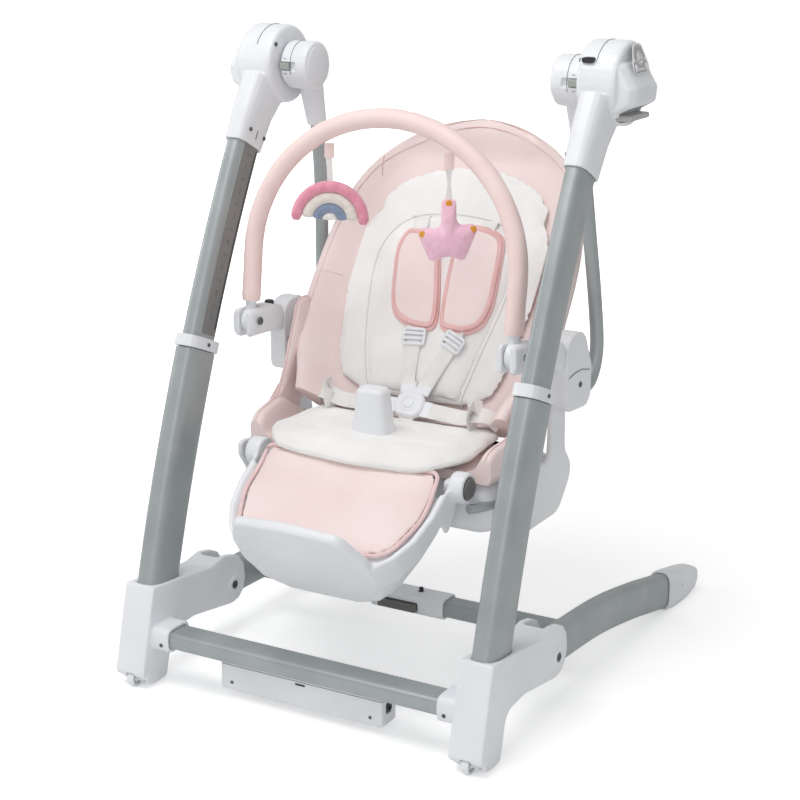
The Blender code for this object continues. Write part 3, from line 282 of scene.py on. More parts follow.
def plush(name, light, dark):
    finish, tree, shader = new_finish(name, 1.0, Sheen_Weight=0.5, Sheen_Roughness=0.6)
    place = mottled(tree, shader, light, dark, 120.0)
    pile = add_node(tree, "ShaderNodeTexNoise", [("Vector", place, "Object")],
                    Scale=1 / 0.0009, Detail=4.0)
    raised(tree, shader, pile, "Fac", 0.7, 0.0010)
    return finish


PINK_LEATHERETTE = leatherette("pink_polyurethane_leatherette", "#F3E1DE", "#EEDAD7")
PALE_PIPING = twill("pale_rose_piping", "#F6DBD9", "#F0CFCD")
PINK_BINDING = twill("rose_bias_binding", "#F0C5C3", "#EABAB8")
# painted shade: a darker pink for the cords that draw the shadow along sewn seams
PINK_SEAM_SHADE = twill("stitched_seam_shadow", "#E8C9C5", "#E0BEBA")
CREAM_KNIT = knitted("cream_cotton_knit", "#F8F7F6", "#F2F1EF")
# painted shade: a darker cream for the cords that draw the shadow in knit seams and strap slots
CREAM_SEAM_SHADE = knitted("cream_seam_shadow", "#E6E3DF", "#DEDBD6", 0.0011, 0.2)
WEBBING = twill("white_polyester_webbing", "#F5F4F1", "#EDEBE8")
ROSE_PLUSH = plush("rose_plush", "#EE9FB2", "#E58EA4")
CREAM_PLUSH = plush("cream_plush", "#EFE8DF", "#E4DCD2")
BLUE_PLUSH = plush("blue_grey_plush", "#8C9BB6", "#7C8BA6")
PALE_PLUSH = plush("white_plush", "#F4F1EE", "#EAE6E2")
CROWN_PLUSH = plush("pale_pink_plush", "#F7CBDD", "#F1BCD2")
AMBER_FELT = plush("amber_felt", "#EBA532", "#DD9420")
print("finishes:", len(bpy.data.materials))


# %% [markdown]
# ## Shaping tools
# Almost every piece here is one of three shapes: a tube swept along a line, a skin stretched over
# rings, or a pillow grown from a flat outline. We write those three once.

# %% Lines and outlines
def flow(keys, place):
    """A smooth value through (place, value) keys."""
    place = min(max(place, keys[0][0]), keys[-1][0])
    i = next(i for i in range(len(keys) - 1) if place <= keys[i + 1][0])
    (p, a), (q, b) = keys[i], keys[i + 1]

    def slope(j):
        low, high = keys[max(j - 1, 0)], keys[min(j + 1, len(keys) - 1)]
        return (high[1] - low[1]) / (high[0] - low[0])

    t, h = (place - p) / (q - p), q - p
    return ((2 * t**3 - 3 * t * t + 1) * a + (t**3 - 2 * t * t + t) * h * slope(i)
            + (-2 * t**3 + 3 * t * t) * b + (t**3 - t * t) * h * slope(i + 1))


def through(points, steps, closed=False):
    """A Catmull-Rom curve through the given points."""
    points = [Vector(p) for p in points]
    if closed:
        ring = [points[-1]] + points + points[:2]
    else:
        ring = [2 * points[0] - points[1]] + points + [2 * points[-1] - points[-2]]
    path = []
    for a, b, c, d in zip(ring, ring[1:], ring[2:], ring[3:]):
        for k in range(steps):
            t = k / steps
            path.append(0.5 * (2 * b + (c - a) * t + (2 * a - 5 * b + 4 * c - d) * t**2
                               + (3 * b - a - 3 * c + d) * t**3))
    return path if closed else path + [points[-1]]


def oval(centre, across, along, half_across, half_along, power=2.0, count=32):
    """A superellipse round a centre, in the plane of two unit vectors."""
    ring = []
    for i in range(count):
        c, s = math.cos(2 * math.pi * i / count), math.sin(2 * math.pi * i / count)
        ring.append(Vector(centre)
                    + Vector(across) * half_across * math.copysign(abs(c) ** (2 / power), c)
                    + Vector(along) * half_along * math.copysign(abs(s) ** (2 / power), s))
    return ring


def rounded(corners, steps=8):
    """An outline from (u, v, radius) corners, each turned into an arc."""
    points = []
    for i, (u, v, radius) in enumerate(corners):
        here = Vector((u, v))
        before = (Vector(corners[i - 1][:2]) - here).normalized()
        after = (Vector(corners[(i + 1) % len(corners)][:2]) - here).normalized()
        half = before.angle(after) / 2
        middle = here + (before + after).normalized() * (radius / math.sin(half))
        reach = radius / math.tan(half)
        start, end = here + before * reach - middle, here + after * reach - middle
        swing = start.angle_signed(end)
        points += [middle + Matrix.Rotation(-swing * k / steps, 2) @ start
                   for k in range(steps + 1)]
    return points


def evenly(points, count):
    """The closed outline again, with points the same distance apart."""
    ring = list(points) + [points[0]]
    reach = [0.0]
    for a, b in zip(ring, ring[1:]):
        reach.append(reach[-1] + (b - a).length)
    out, k = [], 0
    for i in range(count):
        want = reach[-1] * i / count
        while reach[k + 1] < want:
            k += 1
        t = (want - reach[k]) / max(reach[k + 1] - reach[k], 1e-9)
        out.append(ring[k].lerp(ring[k + 1], t))
    return out


# %% Skins, tubes and pillows
def piece_of(name, bm, finish, body, smooth=40.0):
    """Turns a built mesh into a named piece with a finish, riding on a body of the frame."""
    bmesh.ops.recalc_face_normals(bm, faces=bm.faces)
    mesh = bpy.data.meshes.new(name)
    bm.to_mesh(mesh)
    bm.free()
    mesh.materials.append(finish)
    mesh.shade_smooth()
    mesh.set_sharp_from_angle(angle=math.radians(smooth))
    obj = bpy.data.objects.new(name, mesh)
    bpy.context.scene.collection.objects.link(obj)
    if body:
        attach(obj, body)
    return obj


def stretch_skin(bm, rings, ends=True):
    """Adds a skin over rings of equal count to a mesh, with flat ends."""
    rows = [[bm.verts.new(p) for p in ring] for ring in rings]
    count = len(rows[0])
    for first, second in zip(rows, rows[1:]):
        for i in range(count):
            j = (i + 1) % count
            bm.faces.new((first[i], first[j], second[j], second[i]))
    if ends:
        bm.faces.new(rows[0])
        bm.faces.new(rows[-1])
    return rows


def rings_along(path, section, level=(1, 0, 0), closed=False, faces=None):
    """Places a section (across, above) at each point of a path; 'level' is kept across."""
    path = [Vector(p) for p in path]
    rings = []
    for i, here in enumerate(path):
        if closed:
            run = path[(i + 1) % len(path)] - path[i - 1]
        else:
            run = path[min(i + 1, len(path) - 1)] - path[max(i - 1, 0)]
        run.normalize()
        if faces:
            above = Vector(faces[i] if isinstance(faces, list) else faces)
            across = run.cross(above).normalized()
        else:
            across = (Vector(level) - run * run.dot(Vector(level))).normalized()
        above = across.cross(run).normalized()
        shape = section(i / max(len(path) - 1, 1)) if callable(section) else section
        rings.append([here + across * a + above * b for a, b in shape])
    return rings


def round_section(radius, count=20):
    return [(radius * math.cos(2 * math.pi * i / count), radius * math.sin(2 * math.pi * i / count))
            for i in range(count)]


def oval_section(half_across, half_above, power=3.2, count=56):
    return [(p.x, p.y) for p in
            oval((0, 0, 0), (1, 0, 0), (0, 1, 0), half_across, half_above, power, count)]


def sweep(name, path, section, finish, body, slot=None, **how):
    """One tube, strap or cord: a section carried along a path."""
    closed = how.get("closed", False)
    bm = bmesh.new()
    rings = rings_along(path, section, **how)
    stretch_skin(bm, rings + ([rings[0]] if closed else []), ends=not closed)
    if closed:
        bmesh.ops.remove_doubles(bm, verts=bm.verts, dist=1e-7)
    return piece_of(name, bm, finish, body)


def cord_path(name, paths, radius, finish, body, faces=None, closed=False, flat=1.0):
    """Sewn seams and piping: thin cords along several paths, in one mesh."""
    bm = bmesh.new()
    shape = [(a, b * flat) for a, b in round_section(radius, 10)]
    for path in paths:
        rings = rings_along(path, shape, faces=faces, closed=closed,
                            level=(0.31, 0.52, 0.79))
        stretch_skin(bm, rings + ([rings[0]] if closed else []), ends=not closed)
    if closed:
        bmesh.ops.remove_doubles(bm, verts=bm.verts, dist=1e-7)
    return piece_of(name, bm, finish, body)


def pillow_mesh(outline, place, thickness, under=0.25, rows=12, centre=None, crown=2.2):
    """A closed pillow from a flat outline: place(u, v, h) puts a point in the frame. It is
    'thickness' high in the middle, bulges 'under' of that below, and comes to its seam line."""
    bm = bmesh.new()
    middle = centre or sum(outline, Vector((0, 0))) / len(outline)

    def shell(sign, depth):
        rows_of = []
        for k in range(rows):
            share = math.cos(math.pi / 2 * k / rows)
            height = depth * (1 - share ** crown) ** (1 / crown)
            rows_of.append([bm.verts.new(place(middle.x + (p.x - middle.x) * share,
                                               middle.y + (p.y - middle.y) * share,
                                               sign * height)) for p in outline])
        return rows_of

    tops = shell(1, thickness)
    bottoms = shell(-1, thickness * under)
    count = len(outline)
    for layer in (tops, bottoms):
        for first, second in zip(layer, layer[1:]):
            for i in range(count):
                bm.faces.new((first[i], first[(i + 1) % count],
                              second[(i + 1) % count], second[i]))
        cap = bm.verts.new(place(middle.x, middle.y, thickness * (1 if layer is tops else -under)))
        for i in range(count):
            bm.faces.new((layer[-1][i], layer[-1][(i + 1) % count], cap))
    bmesh.ops.remove_doubles(bm, verts=tops[0] + bottoms[0], dist=1e-6)
    return bm


# %% [markdown]
# ### Filling a cushion with air
# A sewn cover is flat cloth that its filling pushes out. Blender's cloth does that: the closed
# shape is remeshed to even squares, pressure swells it for twenty frames with no gravity, and we
# keep only so much of the movement, so the pad stays in its place between its neighbours.

# %% Inflate a pad
def inflate(obj, voxel=0.005, cap=0.005, pressure=4.0):
    """Swells a closed pad with cloth pressure, then keeps the result in its mesh."""
    remesh = obj.modifiers.new("even_squares", "REMESH")
    remesh.mode, remesh.voxel_size, remesh.use_smooth_shade = "VOXEL", voxel, True
    keep_result(obj)
    rest = [v.co.copy() for v in obj.data.vertices]
    scene = bpy.context.scene
    cloth = obj.modifiers.new("filling", "CLOTH")
    cloth.settings.use_pressure = True
    cloth.settings.uniform_pressure_force = pressure
    cloth.settings.effector_weights.gravity = 0.0
    cloth.settings.quality = 5
    cloth.point_cache.frame_start, cloth.point_cache.frame_end = 1, 20
    for number in range(1, 21):
        scene.frame_set(number)
    keep_result(obj)
    scene.frame_set(1)
    for vertex, start in zip(obj.data.vertices, rest):
        move = vertex.co - start
        if move.length > cap:
            vertex.co = start + move.normalized() * cap
    obj.data.update()
    return obj


def keep_result(obj):
    """Applies the modifiers by taking the evaluated mesh."""
    bpy.context.view_layer.update()
    graph = bpy.context.evaluated_depsgraph_get()
    made = bpy.data.meshes.new_from_object(obj.evaluated_get(graph))
    obj.modifiers.clear()
    obj.data = made
    made.shade_smooth()


def smooth_once(obj):
    step = obj.modifiers.new("soft", "SUBSURF")
    step.levels = step.render_levels = 1
    keep_result(obj)
    return obj

# %% [markdown]
# ### The floor
# The floor is a sheet of matt white paper. Near the swing it takes the soft shadows. Further out it
# glows more and more, so that it melts into the white surround and shows no horizon.

# %% Floor
floor_mesh = bmesh.new()
stretch_skin(floor_mesh, [[Vector((x, y, z)) for x, y in ((-6, -6), (6, -6), (6, 7), (-6, 7))]
                          for z in (-0.02, 0.0)])
paper, _, paper_shader = new_finish("matt_white_studio_floor", 0.9)
paper_shader.inputs["Base Color"].default_value = linear("#FAFAFA")
paper_shader.inputs["Emission Color"].default_value = (1.0, 1.0, 1.0, 1.0)
place = add_node(paper.node_tree, "ShaderNodeNewGeometry")
away = add_node(paper.node_tree, "ShaderNodeVectorMath", [(0, place, "Position")],
                {"operation": "LENGTH"}.items())
fade = add_node(paper.node_tree, "ShaderNodeMapRange", [("Value", away, "Value")], From_Min=0.8,
                From_Max=2.4, To_Min=0.36, To_Max=1.0)
eye = add_node(paper.node_tree, "ShaderNodeLightPath")
glow = add_node(paper.node_tree, "ShaderNodeMath", [(0, fade, "Result"), (1, eye, "Is Camera Ray")],
                {"operation": "MULTIPLY"}.items())
paper.node_tree.links.new(glow.outputs[0], paper_shader.inputs["Emission Strength"])
floor = piece_of("studio_floor", floor_mesh, paper, None)


# %% [markdown]
# ## The stand
# The front leg is a telescope of two oval steel tubes, both rolled to the same large arc so that
# one slides inside the other. We sweep an oval along that arc with enough points to look rolled.

# %% Leg line
LEG_X, LEG_RADIUS, LEG_RIM, LEG_LEAN = 0.284, 3.13, (0.0637, 0.1431), math.radians(15.6)


def leg_axis(distance, side, shift=0.0):
    """A point on the leg's arc; 'shift' moves it rearward, square to the arc."""
    lean = LEG_LEAN + distance / LEG_RADIUS
    y = LEG_RIM[0] + LEG_RADIUS * math.cos(LEG_LEAN) - (LEG_RADIUS - shift) * math.cos(lean)
    z = LEG_RIM[1] - LEG_RADIUS * math.sin(LEG_LEAN) + (LEG_RADIUS - shift) * math.sin(lean)
    return at(side * LEG_X, y, z)


def leg_line(low, high, side, count=24, shift=0.0, inward=0.0):
    return [leg_axis(low + (high - low) * i / count, side, shift) - Vector((side * inward, 0, 0))
            for i in range(count + 1)]


# %% Leg tubes and crossbars
for side, word in SIDES:
    lower = sweep(f"rolled_lower_tube_{word}", leg_line(-0.030, 0.3585, side),
                  oval_section(0.019, 0.037), PAINTED_STEEL, "base", "painted_tube")
    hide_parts(f"lower_leg_tube_{word}")
    upper = sweep(f"rolled_upper_tube_{word}", leg_line(0.300, 0.742, side),
                  oval_section(0.015, 0.031), PAINTED_STEEL, "upper_frame", "painted_tube")
    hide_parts(f"upper_leg_tube_{word}")

BAR_Y, BAR_Z, REAR_BAR_Y, REAR_BAR_Z = 0.038, 0.0765, 0.345, 0.0755
bar = sweep("front_crossbar_tube", [at(x, BAR_Y, BAR_Z) for x in (-0.250, 0, 0.250)],
            oval_section(0.023, 0.014, 4.0), PAINTED_STEEL, "base", "painted_tube",
            level=(0, 1, 0))
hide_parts("front_crossbar")
rear = sweep("rear_crossbar_tube", [at(x, REAR_BAR_Y, REAR_BAR_Z) for x in (-0.2685, 0, 0.2685)],
             oval_section(0.019, 0.013, 4.0), PAINTED_STEEL, "rear_frame", "painted_tube",
             level=(0, 1, 0))
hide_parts("rear_crossbar")

PIN_Y, PIN_Z = 0.2285, 0.089
REAR_SHAPE = [(PIN_Y - 0.008, PIN_Z), (0.30, 0.0885), (0.42, 0.0805), (0.54, 0.0615),
              (0.62, 0.0450), (0.690, 0.0312)]
for side, word in SIDES:
    run = through([at(side * (LEG_X + (y - PIN_Y) * 0.0206), y, z) for y, z in REAR_SHAPE], 8)
    tube = sweep(f"rear_leg_{word}", run, oval_section(0.0155, 0.0295), PAINTED_STEEL,
                 "rear_frame", "painted_tube")
    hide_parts(f"rear_tube_{word}")
print("stand: 8 tubes")

# %% [markdown]
# ### The height scale
# Inside each leg a plastic strip carries the height numbers, one every 40 mm, beside a long slot
# in which the release cable runs. Plain numbers are moulded into such strips in slight relief.

# %% Height scale strips
STEP = 0.040


def numeral(text, size, finish_used):
    """A flat numeral as a mesh, drawn in X and Y and centred."""
    letter = bpy.data.curves.new("numeral", "FONT")
    letter.body, letter.size, letter.extrude = text, size, 0.00015
    letter.align_x, letter.align_y = "CENTER", "CENTER"
    obj = bpy.data.objects.new("numeral", letter)
    bpy.context.scene.collection.objects.link(obj)
    bpy.context.view_layer.update()
    mesh = bpy.data.meshes.new_from_object(obj.evaluated_get(
        bpy.context.evaluated_depsgraph_get()))
    bpy.data.objects.remove(obj)
    mesh.materials.clear()
    mesh.materials.append(finish_used)
    return mesh


for side, word in SIDES:
    inner = LEG_X - 0.0150
    inward = Vector((-side, 0, 0))
    strip = [(0.018, 0.0002), (0.0165, 0.0008), (-0.0165, 0.0008), (-0.018, 0.0002),
             (-0.018, -0.0008), (0.018, -0.0008)]
    sweep(f"height_scale_{word}", leg_line(0.385, 0.683, side, 24, 0.003, 0.0150), strip,
          GUIDE_PLASTIC, "upper_frame", "painted_tube", faces=inward)
    groove = [(0.0016, 0.0010), (-0.0016, 0.0010), (-0.0016, 0.0), (0.0016, 0.0)]
    sweep(f"cable_slot_{word}", leg_line(0.395, 0.680, side, 24, 0.0165, 0.0152), groove,
          SHADOW_ABS, "upper_frame", "painted_tube", faces=inward)
    marks = bmesh.new()
    for number in range(7):
        spot = leg_axis(0.650 - STEP * number, side, 0.0) + inward * 0.0160
        up = (leg_axis(0.70, side) - leg_axis(0.60, side)).normalized()
        reading = up.cross(inward)
        place = Matrix((reading, up, inward)).transposed().to_4x4()
        place.translation = spot
        mesh = numeral(str(number + 1), 0.011, INK)
        mesh.transform(place)
        marks.from_mesh(mesh)
        tick = spot + up * (STEP / 2)
        ring = [tick + reading * a * 0.006 + up * b * 0.0006 for a, b in
                ((-1, -1), (1, -1), (1, 1), (-1, 1))]
        stretch_skin(marks, [[p + inward * h for p in ring] for h in (-0.0002, 0.0002)])
    piece_of(f"height_numbers_{word}", marks, INK, "upper_frame")
print("height scale: 7 numbers,", STEP * 1000, "mm apart")


# %% [markdown]
# ## Moulded parts from the frame
# The measured solids have facets where the real mouldings are smooth. A voxel remesh turns each
# into tiny even squares and a smooth step rounds every edge a little, as a mould does, while the
# solid underneath stays what it was.

# %% Dress the moulded parts
def dress(node, finish, voxel=0.0, rounds=8):
    """Gives a frame part its finish, and rounds its facets by remeshing if a voxel is given."""
    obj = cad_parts[node]
    obj.data.materials.clear()
    obj.data.materials.append(finish)
    if voxel:
        remesh = obj.modifiers.new("even_squares", "REMESH")
        remesh.mode, remesh.voxel_size, remesh.use_smooth_shade = "VOXEL", voxel, True
        rounding = obj.modifiers.new("moulded_edges", "SMOOTH")
        rounding.factor, rounding.iterations = 0.5, rounds


MOULDINGS = [  # finish, its slot, and the (part, voxel, rounds) that have it; * is each side
    (WHITE_ABS, "white_plastic", [
        ("foot_*", 0.0014, 10), ("hub_housing_*", 0.0011, 14), ("pod_*", 0.0009, 14),
        ("arm_joint_*", 0.0010, 10), ("rear_cap_*", 0.0010, 12), ("tube_ring_*", 0.0007, 5),
        ("toybar_mount_*", 0.0009, 8), ("seat_base", 0.0020, 10), ("footrest_shell", 0.0019, 12),
        ("backrest_shell", 0.0026, 12), ("control_box", 0.0012, 5), ("latch_housing", 0.0009, 6),
        ("crotch_post", 0.0011, 14), ("harness_buckle", 0.0007, 6), ("buckle_button", 0.0006, 4),
        ("console_button_centre", 0.0004, 3), ("console_button_left", 0.0004, 3),
        ("console_button_right", 0.0004, 3)]),
    (PALE_GREY_ABS, "grey_plastic", [("release_lever_*", 0.0007, 4)]),
    (PALE_GREY_ABS, "console_plastic", [("console_panel", 0.0005, 2)]),
    (SLIDER_ABS, "grey_plastic", [("swing_lock_*", 0.0006, 3)]),
    (GREY_ABS, "grey_plastic", [("footrest_button_*", 0.0007, 4), ("latch_lever", 0.0007, 5)]),
    (BLACK_ABS, "black_plastic", [("toybar_button_*", 0.0006, 4), ("latch_button", 0.0005, 3),
                                  ("dc_jack", 0.0, 0)]),
    (ZINC, "steel", [("swing_shaft_*", 0.0, 0), ("drive_motor", 0.0, 0)]),
]
dressed = 0
for finish, slot, parts in MOULDINGS:
    for part, voxel, rounds in parts:
        for node in sorted({part.replace("*", word) for side, word in SIDES}):
            dress(node, finish, voxel, rounds)
            dressed += 1
print("dressed", dressed, "parts of the frame")

# %% [markdown]
# ### Small hardware
# Screws, pins, seams and lamps are what make a moulding look assembled. A screw head is a turned
# disc with a recess pressed into it, so we grow rings outwards, over the rim, and down the recess.

# %% Screws
def frame_on(normal):
    """Two directions square to a normal."""
    normal = Vector(normal).normalized()
    across = normal.orthogonal().normalized()
    return across, normal.cross(across), normal


def hexagon(angle, size):
    return size / math.cos((angle % (math.pi / 3)) - math.pi / 6)


def cross_slot(angle, size):
    return size * (0.36 + 0.64 * abs(math.cos(2 * angle)) ** 3)


def screw(bm, centre, normal, radius, recess, height=0.0012):
    """Adds one screw head, seated in its place, to a mesh."""
    across, along, out = frame_on(normal)
    rings = []
    for shape, size, rise in (("round", 1.0, -0.001), ("round", 1.0, height * 0.6),
                              ("round", 0.86, height), ("drive", 0.52, height),
                              ("drive", 0.48, height * 0.1)):
        ring = []
        for i in range(36):
            angle = 2 * math.pi * i / 36
            reach = size * radius if shape == "round" else recess(angle, size * radius)
            ring.append(Vector(centre) + out * rise + across * math.cos(angle) * reach
                        + along * math.sin(angle) * reach)
        rings.append(ring)
    stretch_skin(bm, rings)


def screws(name, spots, finish, body, recess=cross_slot):
    bm = bmesh.new()
    for centre, normal, radius in spots:
        screw(bm, centre, normal, radius, recess)
    return piece_of(name, bm, finish, body, 30)


def disc(name, centre, normal, profile, finish, body, count=48):
    """A turned part: (radius, height) rings round a normal."""
    across, along, out = frame_on(normal)
    bm = bmesh.new()
    stretch_skin(bm, [oval(Vector(centre) + out * h, across, along, r, r, 2.0, count)
                      for r, h in profile])
    return piece_of(name, bm, finish, body, 35)


for side, word in SIDES:
    x = side * LEG_X
    for outward, label in ((1, "outer"), (-1, "inner")):
        face = x + side * outward * 0.0262
        normal = (side * outward, 0, 0)
        disc(f"pin_washer_{label}_{word}", at(face, PIN_Y, PIN_Z), normal,
             ((0.0160, -0.002), (0.0160, 0.0006), (0.0148, 0.0014), (0.0090, 0.0014),
              (0.0084, 0.0004)), WHITE_ABS, "base")
        screws(f"pin_head_{label}_{word}", [(at(face + side * outward * 0.0006, PIN_Y, PIN_Z),
                                            normal, 0.0068)], DARK_SCREW, "base", hexagon)
    screws(f"socket_screw_{word}", [(at(side * 0.240, BAR_Y - 0.0278, BAR_Z - 0.006),
                                     (0, -1, 0), 0.0030)], DARK_SCREW, "base")
    ring_spot = leg_axis(0.369, side, -0.0010) + Vector((0.0228, 0, 0))
    screws(f"ring_screw_{word}", [(ring_spot, (1, 0, 0), 0.0030)], DARK_SCREW, "base")
    cap = at(side * 0.294 + 0.0200, 0.712, 0.034)
    screws(f"cap_screw_{word}", [(cap, (1, 0, 0), 0.0045)], DARK_SCREW, "rear_frame")
    joint_face = side * 0.2600 if side > 0 else -0.2310
    screws(f"joint_screw_{word}", [(at(joint_face, 0.392, 0.452), (1, 0, 0), 0.0042)],
           DARK_SCREW, "swing")

# %% [markdown]
# ### Front wheels
# The little transport wheels are moulded in one piece: a tyre, a hub and eight spokes.

# %% Wheels
WHEEL_RADIUS = 0.013
for side, word in SIDES:
    bm = bmesh.new()
    centre = at(side * LEG_X, 0, WHEEL_RADIUS)
    tyre = [(0.0094, -0.0052), (0.0094, 0.0052), (0.0110, 0.0059), (0.0124, 0.0054),
            (0.0129, 0.0035), (0.0130, 0), (0.0129, -0.0035), (0.0124, -0.0054), (0.0110, -0.0059)]
    hub = [(0.0002, -0.0175), (0.0026, -0.0172), (0.0026, -0.0058), (0.0046, -0.0050),
           (0.0046, 0.0050), (0.0026, 0.0058), (0.0026, 0.0172), (0.0002, 0.0175)]
    for profile, wrap in ((tyre, True), (hub, False)):
        rings = [[centre + Vector((h, math.cos(a) * r, math.sin(a) * r))
                  for a in (2 * math.pi * i / 48 for i in range(48))] for r, h in profile]
        rows = stretch_skin(bm, rings, ends=not wrap)
        if wrap:
            for i in range(48):
                j = (i + 1) % 48
                bm.faces.new((rows[-1][i], rows[-1][j], rows[0][j], rows[0][i]))
    for number in range(8):
        turn = Matrix.Rotation(2 * math.pi * number / 8, 3, "X")
        spoke = [[centre + turn @ Vector((x * 0.0036, y * 0.0011, z)) for x, y in
                  ((-1, -1), (1, -1), (1, 1), (-1, 1))] for z in (0.0040, 0.0100)]
        stretch_skin(bm, spoke)
    wheel = piece_of(f"spoked_wheel_{word}", bm, WHITE_ABS, f"wheel_{word}", 30)
    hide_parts(f"front_wheel_{word}")
    disc(f"wheel_boss_{word}", at(side * LEG_X + 0.0262, 0.003, 0.0165), (1, 0, 0),
         ((0.0085, -0.0020), (0.0085, 0.0003), (0.0076, 0.0009), (0.0034, 0.0009), (0.0030, 0.0)),
         WHITE_ABS, "base")

# %% [markdown]
# ### The console on the right hub
# Parents set the swing from a sloping grey panel: one round key in the middle, a ring of tiny
# lamps round it, two oval keys beside it, and a row of small keys below. A black window in front
# covers the remote receiver. The left hub only holds bearings, so it has vents and screws.

# %% Console details
PANEL_TOP, PANEL_LOW = at(0.3215, 0.410, 0.9470), at(0.3320, 0.410, 0.9060)
panel_up = (PANEL_TOP - PANEL_LOW).normalized()
panel_rear = Vector((0, 1, 0))
panel_out = panel_rear.cross(panel_up)
panel_middle = (PANEL_TOP + PANEL_LOW) / 2


def on_panel(across, above, proud):
    return panel_middle + panel_rear * across + panel_up * above + panel_out * proud


def studs(name, spots, finish, body, half=(0.0012, 0.0012), rise=0.0006):
    """Small raised lamps or keys on the console, domed."""
    bm = bmesh.new()
    for a, b in spots:
        stretch_skin(bm, [oval(on_panel(a, b, 0.0020 + h), panel_rear, panel_up,
                               half[0] * s, half[1] * s, 2.0, 20)
                          for h, s in ((-0.0006, 1.0), (rise * 0.5, 1.0), (rise * 0.9, 0.75),
                                       (rise, 0.35))])
    return piece_of(name, bm, finish, body)


studs("console_lamps", [(0.0145 * math.cos(math.radians(a)), 0.003 + 0.0145 * math.sin(
    math.radians(a))) for a in range(10, 171, 20)], BLACK_ABS, "upper_frame",
      (0.0009, 0.0009), 0.0004)
studs("console_small_keys", [(a, -0.0118) for a in (-0.009, -0.003, 0.003, 0.009)], WHITE_ABS,
      "upper_frame", (0.0022, 0.0018))
studs("console_side_keys", [(s * 0.0190, 0.0015) for s in (1, -1)], WHITE_ABS,
      "upper_frame", (0.0026, 0.0026))
bm = bmesh.new()
stretch_skin(bm, [oval(on_panel(0, 0.003, 0.0036 + h), panel_rear, panel_up, r, r * 1.12, 2.0, 40)
                  for r, h in ((0.0078, -0.0005), (0.0078, 0.0001), (0.0068, 0.0001),
                               (0.0066, -0.0004))])
piece_of("console_key_ring", bm, PALE_GREY_ABS, "console_button_centre")
key_marks = []
for turn in (90, 210, 330):
    a = math.radians(turn)
    key_marks.append([on_panel(r * math.cos(a), 0.003 + r * 1.1 * math.sin(a), 0.0038)
                      for r in (0.0012, 0.0035, 0.0060)])
cord_path("console_key_marks", key_marks, 0.00035, INK, "console_button_centre")
rim = [on_panel(p.x, p.y, 0.0016) for p in evenly(rounded(
    [(-0.0315, -0.0175, 0.009), (-0.013, 0.0237, 0.011), (0.013, 0.0237, 0.011),
     (0.0315, -0.0175, 0.009)], 8), 90)]
cord_path("console_rim", [rim], 0.0008, WHITE_ABS, "upper_frame", closed=True)
bm = bmesh.new()
stretch_skin(bm, [oval(at(0.2722, y, 0.9292), (1, 0, 0), (0, 0, 1), 0.0093 * s, 0.0040 * s, 3.4, 40)
                  for y, s in ((0.372, 1.0), (0.3580, 1.0), (0.3572, 0.92))])
piece_of("receiver_window", bm, BLACK_ABS, "upper_frame")

# %% [markdown]
# ### The hubs
# Each hub is two shells screwed together, so a parting line runs round it. Under it are five vent
# slots, and the screws that hold the shells show on the inner face.

# %% Hub seams, vents and screws
for side, word in SIDES:
    inner = side * 0.2552
    centre = at(inner, 0.4126, 0.894)
    cord_path(f"hub_seam_{word}", [[centre + Vector((side * 0.0285, math.cos(a) * 0.0606,
                                                     math.sin(a) * 0.0606))
                                    for a in (math.radians(d) for d in range(-60, 150, 3))]],
              0.00045, SHADOW_ABS, "upper_frame")
    vents = []
    for number in range(5):
        start = at(inner + side * 0.0003, 0.4480 - 0.0012 * number, 0.8700 - 0.0055 * number)
        vents.append([start, start + Vector((0, 0.0085, 0.0020)), start + Vector((0, 0.016, 0.005))])
    cord_path(f"hub_vents_{word}", vents, 0.0013, SHADOW_ABS, "upper_frame",
              flat=0.6, faces=(-side, 0, 0))
    spots = [(leg_axis(0.705, side, shift) - Vector((side * 0.0200, 0, 0)), (-side, 0, 0), 0.0032)
             for shift in (-0.018, 0.022)]
    spots.append((at(inner, 0.372, 0.927), (-side, 0, 0), 0.0034))
    screws(f"hub_screws_{word}", spots, DARK_SCREW, "upper_frame")
    arrow = [leg_axis(s, side, 0.0) - Vector((side * 0.0206, 0, 0)) for s in (0.695, 0.702, 0.709)]
    cord_path(f"height_pointer_{word}", [arrow], 0.0007, INK, "upper_frame")

# %% [markdown]
# ### The swing arms
# A bent steel tube hangs from each round pod and hooks forward under the seat. One sweep along the
# bends makes it; the pod's cap, seam and lock marks are small turned and swept pieces.

